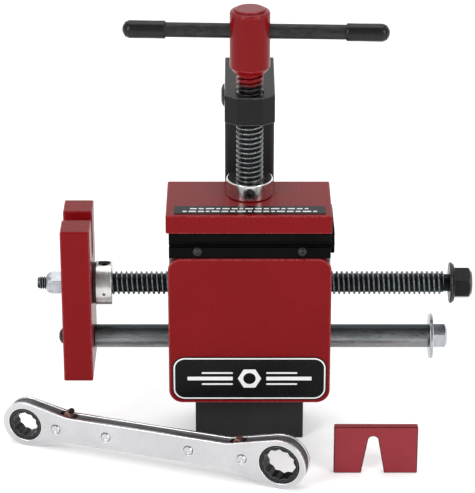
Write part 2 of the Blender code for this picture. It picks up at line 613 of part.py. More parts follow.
def make_handle(handle, finishes):
    """The sliding cross bar and its rubber ends; the empty's X axis is the bar's own."""
    turned("handle_bar", rod(HANDLE_LEFT + END_CAP_WALL + GAP, HANDLE_RIGHT - END_CAP_WALL - GAP,
                             HANDLE_RADIUS, 0.8 * MM),
           finishes["black oxide"], handle, along="X", sides=SMALL_ROUND)
    for name, end, side in (("handle_cap_left", HANDLE_LEFT, 1), ("handle_cap_right", HANDLE_RIGHT, -1)):
        bore = HANDLE_RADIUS + GAP
        mouth = end + side * END_CAP_LENGTH
        floor = end + side * END_CAP_WALL
        profile = [(end, 0.0), (end, END_CAP_RADIUS * 0.55),
                   (end + side * 0.9 * MM, END_CAP_RADIUS * 0.85),
                   (end + side * 2.6 * MM, END_CAP_RADIUS), (mouth, END_CAP_RADIUS),
                   (mouth, bore), (floor, bore), (floor, 0.0)]
        turned(name, profile, finishes["rubber"], handle, along="X", sides=SMALL_ROUND)


# ---- the puller ----------------------------------------------------------------------------
def make_yoke(yoke_body, finishes):
    """The forked yoke with its bush, guide rod and the rod's screws; local z = 0 is the drive axis."""
    low = YOKE_BOTTOM - DRIVE_Z
    high = YOKE_TOP - DRIVE_Z
    half = YOKE_DEPTH / 2
    slot = SLOT_WIDTH / 2
    slot_centre = SLOT_BOTTOM - DRIVE_Z + slot
    outline = [(-half, low), (half, low), (half, high), (slot, high)]
    outline += arc((0.0, slot_centre), slot, 0, -180, 12)
    outline += [(-slot, high), (-half, high)]
    yoke = extruded("yoke", outline, YOKE_LEFT, YOKE_RIGHT, finishes["red paint"], yoke_body,
                    along="X")
    soften(yoke, 0.8 * MM, 60.0)
    stud_way = turned("stud_way", rod(YOKE_LEFT - EXTRA, YOKE_RIGHT + EXTRA,
                                      YOKE_BUSH_RADIUS + GAP), None, yoke_body, along="X")
    screw_way = turned("screw_way", rod(YOKE_LEFT - EXTRA, YOKE_RIGHT + EXTRA,
                                        BUTTON_SHANK_RADIUS + GAP), None, yoke_body, along="X")
    screw_way.location = (0.0, 0.0, -ROD_DROP)
    cut(yoke, stud_way, screw_way)
    turned("yoke_bush", ring(YOKE_LEFT + GAP, YOKE_RIGHT - GAP, STUD_RADIUS + RUNNING,
                             YOKE_BUSH_RADIUS),
           finishes["bronze"], yoke_body, along="X", closed=True, sides=24)

    start = YOKE_RIGHT + GAP
    screw_pocket = start + BUTTON_SHANK_REACH + GAP
    stop_pocket = ROD_END - STOP_SHANK_LENGTH - GAP
    guide = turned("guide_rod",
                   [(screw_pocket, 0.0), (screw_pocket, BUTTON_SHANK_RADIUS + GAP),
                    (start, BUTTON_SHANK_RADIUS + GAP), (start, ROD_RADIUS - 0.6 * MM),
                    (start + 0.6 * MM, ROD_RADIUS), (ROD_END - 0.6 * MM, ROD_RADIUS),
                    (ROD_END, ROD_RADIUS - 0.6 * MM), (ROD_END, STOP_SHANK_RADIUS + GAP),
                    (stop_pocket, STOP_SHANK_RADIUS + GAP), (stop_pocket, 0.0)],
                   finishes["dark steel"], yoke_body, along="X")
    button = turned("rod_button_screw",
                    [(YOKE_LEFT - GAP - BUTTON_HEIGHT, 0.0),
                     (YOKE_LEFT - GAP - BUTTON_HEIGHT, BUTTON_RADIUS * 0.55),
                     (YOKE_LEFT - GAP - BUTTON_HEIGHT * 0.55, BUTTON_RADIUS * 0.9),
                     (YOKE_LEFT - GAP, BUTTON_RADIUS), (YOKE_LEFT - GAP, BUTTON_SHANK_RADIUS),
                     (start + BUTTON_SHANK_REACH, BUTTON_SHANK_RADIUS),
                     (start + BUTTON_SHANK_REACH, 0.0)],
                    finishes["black oxide"], yoke_body, along="X", sides=SMALL_ROUND)
    washer_end = ROD_END + GAP + STOP_WASHER_THICKNESS
    washer = turned("rod_stop_washer",
                    ring(ROD_END + GAP, washer_end, STOP_SHANK_RADIUS + 2 * GAP,
                         STOP_WASHER_RADIUS, 0.4 * MM),
                    finishes["zinc"], yoke_body, along="X", closed=True)
    head = extruded("rod_stop_bolt", hexagon(STOP_HEAD_FLATS), washer_end + GAP,
                    washer_end + GAP + STOP_HEAD_LENGTH, finishes["zinc"], yoke_body, along="X")
    soften(head, 0.6 * MM)
    shank = turned("stop_shank", rod(ROD_END - STOP_SHANK_LENGTH, washer_end + GAP + EXTRA,
                                     STOP_SHANK_RADIUS), None, yoke_body, along="X",
                   sides=SMALL_ROUND)
    join(head, shank)
    for piece in (guide, button, washer, head, shank):
        piece.location = (0.0, 0.0, -ROD_DROP)


def join(piece, added):
    """Unite a hidden helper solid with a piece."""
    added.hide_render = True
    added.display_type = "WIRE"
    united = piece.modifiers.new("with " + added.name, "BOOLEAN")
    united.operation = "UNION"
    united.solver = "EXACT"
    united.object = added


def make_drive_screw(drive, finishes):
    """The drive screw with its collar, washer, lock nut and flanged hex head."""
    shoulder = YOKE_RIGHT + 2 * GAP
    head_bottom = HEAD_END - 4.0 * MM
    turned("drive_screw",
           [(STUD_END, 0.0), (STUD_END, STUD_RADIUS - 0.8 * MM),
            (STUD_END + 0.8 * MM, STUD_RADIUS), (shoulder, STUD_RADIUS),
            (shoulder, DRIVE_RADIUS), (DRIVE_SHOULDER, DRIVE_RADIUS),
            (DRIVE_SHOULDER + 1.5 * MM, NECK_RADIUS), (head_bottom - GAP, NECK_RADIUS),
            (head_bottom - GAP, 0.0)],
           finishes["black oxide"], drive, along="X")
    washer_start = YOKE_RIGHT + GAP
    collar_start = washer_start + WASHER_THICKNESS + GAP
    collar_end = collar_start + DRIVE_COLLAR_LENGTH
    turned("thrust_washer", ring(washer_start, washer_start + WASHER_THICKNESS,
                                 DRIVE_RADIUS + GAP, WASHER_RADIUS),
           finishes["black oxide"], drive, along="X", closed=True)
    collar = turned("drive_collar", ring(collar_start, collar_end, DRIVE_RADIUS + GAP,
                                         DRIVE_COLLAR_RADIUS, 0.7 * MM),
                    finishes["machined steel"], drive, along="X", closed=True)
    middle = (collar_start + collar_end) / 2
    set_screw = turned("drive_collar_screw",
                       rod(DRIVE_RADIUS + 2 * GAP, DRIVE_COLLAR_RADIUS - 3 * SET_SCREW_SINK,
                           SET_SCREW_RADIUS, 0.5 * MM),
                       finishes["black oxide"], drive, sides=SMALL_ROUND)
    set_screw.location = (middle, 0.0, 0.0)
    hole = turned("drive_collar_hole", rod(0.0, DRIVE_COLLAR_RADIUS + EXTRA,
                                           SET_SCREW_RADIUS + GAP),
                  None, drive, sides=SMALL_ROUND)
    hole.location = (middle, 0.0, 0.0)
    cut(collar, hole)

    nut_end = YOKE_LEFT - GAP
    nut = extruded("lock_nut", hexagon(LOCK_NUT_FLATS), nut_end - LOCK_NUT_LENGTH, nut_end,
                   finishes["zinc"], drive, along="X")
    soften(nut, 0.6 * MM)
    nut_bore = turned("lock_nut_bore", rod(nut_end - LOCK_NUT_LENGTH - EXTRA, nut_end + EXTRA,
                                           STUD_RADIUS + GAP), None, drive, along="X")
    cut(nut, nut_bore)

    flange_end = FLANGE_LEFT + FLANGE_THICKNESS
    head = extruded("drive_head", hexagon(HEAD_FLATS), flange_end - EXTRA, HEAD_END,
                    finishes["black oxide"], drive, along="X")
    soften(head, 0.8 * MM)
    flange = turned("head_flange", rod(FLANGE_LEFT, flange_end, FLANGE_RADIUS, 1.0 * MM), None,
                    drive, along="X")
    join(head, flange)
    socket = turned("head_socket", rod(FLANGE_LEFT - EXTRA, head_bottom, NECK_RADIUS + GAP),
                    None, drive, along="X")
    cut(head, socket)


# ---- the wrench ----------------------------------------------------------------------------
def wrench_outline(inset):
    """Two round heads joined by a straight grip; the small ring's centre is the origin.

    Each head's arc ends where the straight flank to the neck touches it.
    """
    grip = GRIP_HEIGHT / 2 - inset
    points = []
    for centre, head, neck, side in ((0.0, SMALL_HEAD_RADIUS - inset, SMALL_NECK, 1),
                                     (WRENCH_CENTRES, LARGE_HEAD_RADIUS - inset, LARGE_NECK, -1)):
        reach = math.hypot(neck, grip)
        touch = math.degrees(math.atan2(grip, neck) + math.acos(head / reach))
        start = touch if side == 1 else 180 + touch
        flank = arc((centre, 0.0), head, start, start + 360 - 2 * touch, 14)
        if side == 1:
            points += flank
            points += [(neck, -grip)]
        else:
            points += [(centre - neck, -grip)]
            points += flank
            points += [(centre - neck, grip), (SMALL_NECK, grip)]
    return points


def twelve_point(flats):
    """A twelve-point socket's outline: two hexagons laid over each other."""
    corner = flats / math.sqrt(3)
    valley = flats / 2 / math.cos(math.radians(15))
    points = []
    for step in range(12):
        points += arc((0.0, 0.0), corner, 30 * step, 30 * step, 1)[:1]
        points += arc((0.0, 0.0), valley, 30 * step + 15, 30 * step + 15, 1)[:1]
    return points


def make_wrench(wrench, small_ring, large_ring, small_pawl, large_pawl, finishes):
    """The laminated wrench: local x along it, y through its thickness, z across it."""
    core_start = SIDE_THICKNESS + GAP
    core_end = WRENCH_THICKNESS - SIDE_THICKNESS - GAP
    sides = [("wrench_side_front", 0.0, SIDE_THICKNESS),
             ("wrench_side_back", WRENCH_THICKNESS - SIDE_THICKNESS, WRENCH_THICKNESS)]
    plates = [extruded(name, wrench_outline(0.0), start, end, finishes["chrome"], wrench,
                       along="Y") for name, start, end in sides]
    core = extruded("wrench_core", wrench_outline(CORE_INSET), core_start, core_end,
                    finishes["dark steel"], wrench, along="Y")

    heads = [("ring_small", 0.0, SMALL_WINDOW, SMALL_SOCKET_FLATS, small_ring),
             ("ring_large", WRENCH_CENTRES, LARGE_WINDOW, LARGE_SOCKET_FLATS, large_ring)]
    for name, x, window, flats, body in heads:
        opening = turned(name + "_window", rod(-EXTRA, WRENCH_THICKNESS + EXTRA, window), None,
                         wrench, along="Y")
        opening.location = (x, 0.0, 0.0)
        pocket = turned(name + "_pocket", rod(0.0, WRENCH_THICKNESS, window + GEAR_STEP), None,
                        wrench, along="Y")
        pocket.location = (x, 0.0, 0.0)
        for plate in plates:
            cut(plate, opening)
        cut(core, pocket)
        hub = window - GAP
        gear = window + GEAR_STEP - GAP
        gear_start = core_start + GAP
        gear_end = core_end - GAP
        wheel = turned(name, [(GAP, 0.0), (GAP, hub), (gear_start, hub), (gear_start, gear),
                              (gear_end, gear), (gear_end, hub), (WRENCH_THICKNESS - GAP, hub),
                              (WRENCH_THICKNESS - GAP, 0.0)],
                       finishes["black oxide"], body, along="Y")
        socket = extruded(name + "_socket", twelve_point(flats), -EXTRA,
                          WRENCH_THICKNESS + EXTRA, None, body, along="Y")
        cut(wheel, socket)

    rivets = list(SMALL_RIVETS) + [WRENCH_CENTRES - back for back in LARGE_RIVETS]
    for number, x in enumerate(rivets, start=1):
        front = -GAP - RIVET_STANDS
        back = WRENCH_THICKNESS + GAP + RIVET_STANDS
        rivet = turned("wrench_rivet_%d" % number,
                       [(front, 0.0), (front, RIVET_RADIUS * 0.8), (-GAP, RIVET_RADIUS),
                        (-GAP, RIVET_SHANK), (WRENCH_THICKNESS + GAP, RIVET_SHANK),
                        (WRENCH_THICKNESS + GAP, RIVET_RADIUS), (back, RIVET_RADIUS * 0.8),
                        (back, 0.0)],
                       finishes["chrome"], wrench, along="Y", sides=16)
        rivet.location = (x, 0.0, 0.0)
        hole = turned("rivet_hole_%d" % number, rod(-EXTRA, WRENCH_THICKNESS + EXTRA,
                                                    RIVET_SHANK + GAP),
                      None, wrench, along="Y", sides=16)
        hole.location = (x, 0.0, 0.0)
        cut(core, hole)
        cut(plates[0], hole)
        cut(plates[1], hole)

    pawls = [("pawl_small", PAWL_FROM_RING, small_pawl),
             ("pawl_large", WRENCH_CENTRES - PAWL_FROM_RING, large_pawl)]
    for name, x, body in pawls:
        half = PAWL_LENGTH / 2
        top = GRIP_HEIGHT / 2
        lever = extruded(name, [(-half, -PAWL_DEPTH), (half, -PAWL_DEPTH), (half * 0.7, 0.0),
                                (half * 0.3, PAWL_STANDS), (-half * 0.3, PAWL_STANDS),
                                (-half * 0.7, 0.0)],
                         core_start + GAP, core_end - GAP, finishes["copper brown"], body,
                         along="Y")
        soften(lever, 0.5 * MM)
        pocket = extruded(name + "_pocket",
                          rectangle((x - half - PAWL_ROOM, top - PAWL_DEPTH - PAWL_ROOM),
                                    (x + half + PAWL_ROOM, top + 4 * PAWL_STANDS)),
                          0.0, WRENCH_THICKNESS, None, wrench, along="Y")
        cut(core, pocket)


def make_adapter(adapter, finishes):
    """The slotted plate that narrows the yoke's opening; it stands on its notched edge."""
    half = ADAPTER_WIDTH / 2
    wide = NOTCH_WIDTH / 2
    centre = (NOTCH_X, NOTCH_HEIGHT - NOTCH_TOP_RADIUS)
    outline = [(-half, 0.0), (NOTCH_X - wide, 0.0)]
    outline += arc(centre, NOTCH_TOP_RADIUS, 180, 0, 10)
    outline += [(NOTCH_X + wide, 0.0), (half, 0.0), (half, ADAPTER_HEIGHT),
                (-half, ADAPTER_HEIGHT)]
    plate = extruded("adapter_plate", outline, 0.0, ADAPTER_THICKNESS, finishes["red paint"],
                     adapter, along="Y")
    soften(plate, 0.5 * MM, 60.0)


def build():
    """Make every piece under its body's empty."""
    for item in list(bpy.data.objects):
        bpy.data.objects.remove(item, do_unlink=True)
    finishes = {
        "red paint": material("red paint", (0.26, 0.012, 0.017), 0.35),
        "black paint": material("black paint", (0.020, 0.018, 0.018), 0.45),
        "black oxide": material("black oxide", (0.025, 0.027, 0.028), 0.35, 0.9),
        "machined steel": material("machined steel", (0.55, 0.53, 0.51), 0.32, 1.0),
        "dark steel": material("dark steel", (0.16, 0.17, 0.17), 0.30, 1.0),
        "zinc": material("zinc", (0.60, 0.62, 0.64), 0.30, 1.0),
        "chrome": material("chrome", (0.75, 0.75, 0.77), 0.18, 1.0),
        "bronze": material("bronze", (0.55, 0.36, 0.16), 0.35, 1.0),
        "copper brown": material("copper brown", (0.10, 0.035, 0.028), 0.45, 0.6),
        "rubber": material("rubber", (0.012, 0.012, 0.012), 0.75),
        "black plastic": material("black plastic", (0.02, 0.02, 0.02), 0.55),
        "label film": material("label film", (0.010, 0.010, 0.012), 0.30),
    }
    frame = pivot("frame_body", (0.0, 0.0, 0.0))
    make_block(frame, finishes)
    make_front(frame, finishes)
    make_column(frame, finishes)
    make_tray(frame, finishes)

    jaw = pivot("jaw_body", (0.0, 0.0, 0.0))
    make_jaw(jaw, finishes)
    clamp = pivot("clamp_axis", (0.0, AXIS_Y, 0.0), jaw)
    make_clamp_screw(clamp, finishes)
    handle = pivot("handle_axis", (0.0, 0.0, HANDLE_Z), clamp, (0.0, 0.0, HANDLE_TURN))
    make_handle(handle, finishes)

    yoke = pivot("yoke_body", (0.0, AXIS_Y, DRIVE_Z))
    make_yoke(yoke, finishes)
    drive = pivot("drive_axis", (0.0, 0.0, 0.0), yoke)
    make_drive_screw(drive, finishes)

    tilt = math.asin((LARGE_HEAD_RADIUS - SMALL_HEAD_RADIUS) / WRENCH_CENTRES)
    wrench = pivot("wrench_body", (WRENCH_X, WRENCH_Y, SMALL_HEAD_RADIUS), None,
                   (0.0, -tilt, WRENCH_TURN))
    small_ring = pivot("small_ring_axis", (0.0, 0.0, 0.0), wrench)
    large_ring = pivot("large_ring_axis", (WRENCH_CENTRES, 0.0, 0.0), wrench)
    pawl_height = GRIP_HEIGHT / 2
    small_pawl = pivot("small_pawl_axis", (PAWL_FROM_RING, 0.0, pawl_height), wrench)
    large_pawl = pivot("large_pawl_axis", (WRENCH_CENTRES - PAWL_FROM_RING, 0.0, pawl_height),
                       wrench)
    make_wrench(wrench, small_ring, large_ring, small_pawl, large_pawl, finishes)

    adapter = pivot("adapter_body", (ADAPTER_X, ADAPTER_Y, 0.0))
    make_adapter(adapter, finishes)


build()
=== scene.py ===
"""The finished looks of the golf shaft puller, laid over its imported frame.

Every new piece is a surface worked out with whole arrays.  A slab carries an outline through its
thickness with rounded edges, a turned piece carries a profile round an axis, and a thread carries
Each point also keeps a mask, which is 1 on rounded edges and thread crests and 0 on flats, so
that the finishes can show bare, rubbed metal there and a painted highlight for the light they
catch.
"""
import json
import math

import bmesh
import bpy
import numpy as np
from mathutils.geometry import tessellate_polygon
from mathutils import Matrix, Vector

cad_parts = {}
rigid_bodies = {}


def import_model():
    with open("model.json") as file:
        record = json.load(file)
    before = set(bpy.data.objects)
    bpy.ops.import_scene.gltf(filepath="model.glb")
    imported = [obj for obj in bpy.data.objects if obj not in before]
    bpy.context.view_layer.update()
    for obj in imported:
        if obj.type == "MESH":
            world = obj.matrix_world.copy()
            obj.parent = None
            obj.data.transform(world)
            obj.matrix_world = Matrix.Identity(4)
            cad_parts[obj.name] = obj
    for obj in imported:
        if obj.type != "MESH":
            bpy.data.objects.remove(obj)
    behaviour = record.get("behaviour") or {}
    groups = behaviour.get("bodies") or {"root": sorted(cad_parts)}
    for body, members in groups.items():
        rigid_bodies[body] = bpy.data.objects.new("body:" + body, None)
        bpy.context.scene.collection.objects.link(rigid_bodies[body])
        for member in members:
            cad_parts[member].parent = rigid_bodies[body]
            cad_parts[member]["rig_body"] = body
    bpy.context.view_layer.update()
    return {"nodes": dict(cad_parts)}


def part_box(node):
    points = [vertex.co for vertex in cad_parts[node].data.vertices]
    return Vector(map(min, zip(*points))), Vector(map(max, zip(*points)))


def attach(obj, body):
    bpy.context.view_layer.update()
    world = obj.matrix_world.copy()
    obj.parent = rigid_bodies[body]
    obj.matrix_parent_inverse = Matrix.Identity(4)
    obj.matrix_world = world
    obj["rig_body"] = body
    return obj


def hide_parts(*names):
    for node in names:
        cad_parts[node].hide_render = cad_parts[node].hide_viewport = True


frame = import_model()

MM = 0.001
SAME_PLACE = 1e-7            # points nearer than this are one point
HOLD = 0.25                  # how far past an arc the flat's holding point stands, in arc legs
ROUND = 96                   # sides of a large turned piece
FINE = 48                    # sides of a small one and of a thread
SHARP = math.radians(38.0)   # faces that meet at more than this keep their edge

# ---- sizes that the frame's boxes do not give ----------------------------------------------
LEAD = 25.4 * MM / 6         # both screws: six threads to the inch
RIDGE_DEPTH = 2.0 * MM
STUD_LEAD = 25.4 * MM / 13
STUD_RIDGE = 1.0 * MM
STUD_RADIUS = 5.65 * MM
TIP_RADIUS = 6.0 * MM
PLATE_CORNER = 11.5 * MM
LABEL_CORNER = 10.5 * MM
COLUMN_CORNER = 4.0 * MM
COLUMN_WALL = 3.2 * MM
BAR_CHAMFER = (10.2 * MM, 8.1 * MM)
KNOB_TAPER = 5.0 * MM
SLOT_WIDTH = 17.0 * MM
SLOT_BOTTOM = 155.0 * MM
WRENCH_TURN = math.radians(-19.07)
WRENCH_CENTRES = 226.4 * MM
SMALL_HEAD = 20.3 * MM
LARGE_HEAD = 22.6 * MM
WRENCH_THICKNESS = 13.5 * MM
SIDE_THICKNESS = 2.6 * MM
GRIP_HEIGHT = 24.0 * MM
SMALL_NECK = 39.0 * MM
LARGE_NECK = 46.0 * MM
SMALL_WINDOW = 14.6 * MM
LARGE_WINDOW = 17.4 * MM
GEAR_STEP = 1.6 * MM
SMALL_FLATS = 19.6 * MM
LARGE_FLATS = 24.6 * MM
RIVETS_AT = (28.0 * MM, 73.4 * MM, 147.0 * MM, 193.8 * MM)
RIVET_RADIUS = 3.9 * MM
PAWLS_AT = (37.5 * MM, 188.9 * MM)
BALL_RADIUS = 2.5 * MM
BORE_ROOM = 1.3 * MM         # around a screw or rod inside the block
SEAT_ROOM = 0.2 * MM         # around a nut or bush in its seat
PLAY = 0.3 * MM              # between a piece and what it passes through
INK = 0.08 * MM              # the label ink's thickness, and the film edge's rounding
INK_GAP = 0.02 * MM          # between ink and film, and the ink edge's rounding
RULE_INSETS = (0.9 * MM, 2.1 * MM)
MARK_NUT = (17.0 * MM, 5.2 * MM)
BARS_FROM = 14.0 * MM
LABEL_BARS = ((5.2 * MM, 26.0 * MM, 1.5 * MM), (0.0, 38.0 * MM, 3.4 * MM),
              (-5.2 * MM, 26.0 * MM, 1.5 * MM))     # height, length and width of the mark's bars
DASHES = (5.5, 4.2, 7.0, 3.4, 6.1, 4.8, 3.0, 6.6)    # lengths on the jaw's strip, in mm
DASH_ROWS = ((9.9 * MM, 49.0 * MM), (4.3 * MM, 55.0 * MM))   # each row's height and half length
CAP_HEAD = 8.0 * MM
CAP_SHANK = 4.0 * MM
THREAD_HIDDEN = 2.0 * MM     # how far a thread runs on inside its collar or knob
ROD_TAPPING = 4.3 * MM
BOLT_SHANK = 6.2 * MM
NECK_RADIUS = 7.5 * MM
FLANGE_THICKNESS = 4.4 * MM
HEAD_FLATS = 24.2 * MM
CAP_RADIUS = 7.4 * MM
CAP_LENGTH = 35.0 * MM
NOTCH = (102.3 * MM, 34.4 * MM, 9.6 * MM, 4.4 * MM)  # centre, height, half width, crown radius
FLOOR_GLOW = 0.28


# ---- where things are ----------------------------------------------------------------------
def ends(node):
    """A node's lowest and highest corners at rest."""
    low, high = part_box(node)
    return np.array(low), np.array(high)


def middle(node):
    """The centre of a node's box at rest."""
    low, high = ends(node)
    return (low + high) / 2


def placed(origin, across, up, along):
    """A rule that puts (a, b, s) at origin + a*across + b*up + s*along."""
    origin, across, up, along = (np.array(v, float) for v in (origin, across, up, along))

    def put(a, b, s):
        """The points for coordinates a and b across and s along."""
        a, b, s = np.broadcast_arrays(a, b, s)
        return origin + a[..., None] * across + b[..., None] * up + s[..., None] * along
    return put


def lying(axis, origin=(0.0, 0.0, 0.0)):
    """The rule for a piece whose length runs along X, Y or Z."""
    x, y, z = np.eye(3)
    return placed(origin, *{"X": (y, z, x), "Y": (x, z, y), "Z": (x, y, z)}[axis])


def middle_line(node, axis):
    """The rule for a round piece's own axis, with its two ends and its radius."""
    low, high = ends(node)
    along = "XYZ".index(axis)
    beside = (along + 1) % 3
    origin = (low + high) / 2
    origin[along] = 0.0
    return lying(axis, origin), low[along], high[along], (high[beside] - low[beside]) / 2


# ---- outlines and profiles -----------------------------------------------------------------
def eased(corners, radius, closed=True, steps=4):
    """Round every corner that turns by more than 20 degrees with an arc that touches both sides.

    Returns the points, and 1 for those on an arc.  The arc's leg is radius * tan(turn / 2), at
    most 0.4 of the shorter side, and one more point past each end keeps the flat beside it flat.
    """
    points, wear_and_sheen_mask = [], []
    last = len(corners) - 1
    for number, corner in enumerate(corners):
        here = np.array(corner, float)
        back = np.array(corners[number - 1], float) - here
        on = np.array(corners[(number + 1) % (last + 1)], float) - here
        shorter = min(np.linalg.norm(back), np.linalg.norm(on))
        back, on = back / np.linalg.norm(back), on / np.linalg.norm(on)
        turn = math.acos(float(np.clip(-(back @ on), -1.0, 1.0)))
        if turn < math.radians(20) or (not closed and number in (0, last)):
            points.append(here[None])
            wear_and_sheen_mask.append(np.zeros(1))
            continue
        leg = min(radius * math.tan(turn / 2), 0.4 * shorter)
        true = leg / math.tan(turn / 2)
        centre = here + (back + on) / np.linalg.norm(back + on) * true / math.cos(turn / 2)
        first = here + back * leg
        end = here + on * leg
        from_angle = math.atan2(*(first - centre)[::-1])
        to_angle = math.atan2(*(end - centre)[::-1])
        sweep = (to_angle - from_angle + math.pi) % (2 * math.pi) - math.pi
        angle = from_angle + sweep * np.linspace(0.0, 1.0, steps + 1)
        arc = centre + true * np.stack((np.cos(angle), np.sin(angle)), axis=1)
        points.append(np.concatenate(((first + back * leg * HOLD)[None], arc,
                                      (end + on * leg * HOLD)[None])))
        wear_and_sheen_mask.append(np.concatenate(([0.0], np.ones(steps + 1), [0.0])))
    return np.concatenate(points), np.concatenate(wear_and_sheen_mask)


def circle(radius, sides=ROUND, centre=(0.0, 0.0)):
    """Points evenly round a circle."""
    angle = 2 * np.pi * np.arange(sides) / sides
    return np.array(centre) + radius * np.stack((np.cos(angle), np.sin(angle)), axis=1)


def arc(centre, radius, start, end, steps):
    """Points on an arc, both ends included, angles in degrees."""
    angle = np.radians(np.linspace(start, end, steps + 1))
    return np.array(centre) + radius * np.stack((np.cos(angle), np.sin(angle)), axis=1)


def oblong(low, high, radius, steps=12):
    """A rectangle with round corners, or nearly square ones for a small radius."""
    corners = [(low[0], low[1]), (high[0], low[1]), (high[0], high[1]), (low[0], high[1])]
    return eased(corners, radius, steps=steps)[0]


def hexagon(flats, turn=30.0):
    """A hexagon's corners; a turn of 30 degrees puts two of them up and down."""
    angle = np.radians(turn + 60.0 * np.arange(6))
    return flats / math.sqrt(3) * np.stack((np.cos(angle), np.sin(angle)), axis=1)


def run_round(loop, left):
    """The loop with its inside on the left, or on the right for a hole."""
    ahead = np.roll(loop, -1, axis=0)
    area = np.sum(loop[:, 0] * ahead[:, 1] - ahead[:, 0] * loop[:, 1])
    return loop if (area > 0) == left else loop[::-1]


def drawn_in(loop, by):
    """Every point moved to its left: the sum of its two sides' left normals over 1 + their dot."""
    ahead = np.roll(loop, -1, axis=0) - loop
    ahead = ahead / np.linalg.norm(ahead, axis=1, keepdims=True)
    left = np.stack((-ahead[:, 1], ahead[:, 0]), axis=1)
    before = np.roll(left, 1, axis=0)
    share = 1.0 + np.sum(left * before, axis=1, keepdims=True)
    return loop + by * (left + before) / np.maximum(share, 0.2)


def cylinder(start, end, radius):
    """A cylinder's profile, closed on the axis at both ends."""
    return [(start, 0.0), (start, radius), (end, radius), (end, 0.0)]


def sleeve(start, end, inner, outer):
    """A ring's profile."""
    return [(start, inner), (start, outer), (end, outer), (end, inner)]


# ---- surfaces ------------------------------------------------------------------------------
def grid_faces(rows, columns, rows_close=False):
    """Four-sided faces between neighbouring rows of a grid whose columns run all the way round."""
    row = np.arange(rows if rows_close else rows - 1)[:, None]
    column = np.arange(columns)[None, :]
    under = (row + 1) % rows
    beside = (column + 1) % columns
    return np.stack((row * columns + column, row * columns + beside,
                     under * columns + beside, under * columns + column), axis=-1).reshape(-1, 4)


def slab(loops, start, end, put, edge, steps=3):
    """Walls between start and end along s for each loop, the first outside and the rest holes.

    Near each end the loop is drawn in by edge * (1 - sin a) at a height of edge * (1 - cos a),
    for a from 0 to a quarter turn.  Flat triangles close both ends between the loops.
    """
    bend = np.linspace(0.0, np.pi / 2, steps + 1)
    inset = edge * np.concatenate(([1.0 + HOLD], 1.0 - np.sin(bend), [0.0]))
    rise = edge * np.concatenate(([0.0], 1.0 - np.cos(bend), [1.0 + HOLD]))
    band = np.concatenate(([0.0], np.ones(steps + 1), [0.0]))
    way = math.copysign(1.0, end - start)
    heights = np.concatenate((start + way * rise, (end - way * rise)[::-1]))
    insets = np.concatenate((inset, inset[::-1]))
    band = np.concatenate((band, band[::-1]))
    patches, first_rings, last_rings = [], [], []
    for number, loop in enumerate(loops):
        loop = run_round(np.asarray(loop, float), number == 0)
        loop = loop[np.linalg.norm(loop - np.roll(loop, 1, axis=0), axis=1) > 1e-6]
        rings = np.stack([drawn_in(loop, by) for by in insets])
        points = put(rings[..., 0], rings[..., 1], heights[:, None])
        wear_and_sheen_mask = np.repeat(band, len(loop))
        patches.append((points.reshape(-1, 3), grid_faces(len(heights), len(loop)), wear_and_sheen_mask))
        first_rings.append(rings[0])
        last_rings.append(rings[-1])
    for rings, height in ((first_rings, heights[0]), (last_rings, heights[-1])):
        flat = np.concatenate(rings)
        corners = [[(a, b, 0.0) for a, b in ring] for ring in rings]
        triangles = np.array(tessellate_polygon(corners))
        quads = np.concatenate((triangles, triangles[:, 2:]), axis=1)
        patches.append((put(flat[:, 0], flat[:, 1], height), quads, np.zeros(len(flat))))
    return patches


def turned(profile, put, sides=ROUND, ring=False, ease=0.0, wear_and_sheen_mask=None):
    """Carry each (s, radius) point of a profile round the axis; a ring's profile joins itself."""
    if ease:
        profile, wear_and_sheen_mask = eased(profile, ease, closed=ring)
    profile = np.asarray(profile, float)
    wear_and_sheen_mask = np.zeros(len(profile)) if wear_and_sheen_mask is None else wear_and_sheen_mask
    angle = 2 * np.pi * np.arange(sides) / sides
    radius = profile[:, 1][:, None]
    points = put(radius * np.cos(angle), radius * np.sin(angle), profile[:, 0][:, None])
    return [(points.reshape(-1, 3), grid_faces(len(profile), sides, ring), np.repeat(wear_and_sheen_mask, sides))]


RIDGE_SHARE = np.array([0.00, 0.03, 0.08, 0.27, 0.32, 0.35, 0.44, 0.49, 0.87, 0.92, 1.00])
RIDGE_RISE = np.array([0.80, 0.94, 1.00, 1.00, 0.94, 0.80, 0.10, 0.00, 0.00, 0.10, 0.80])


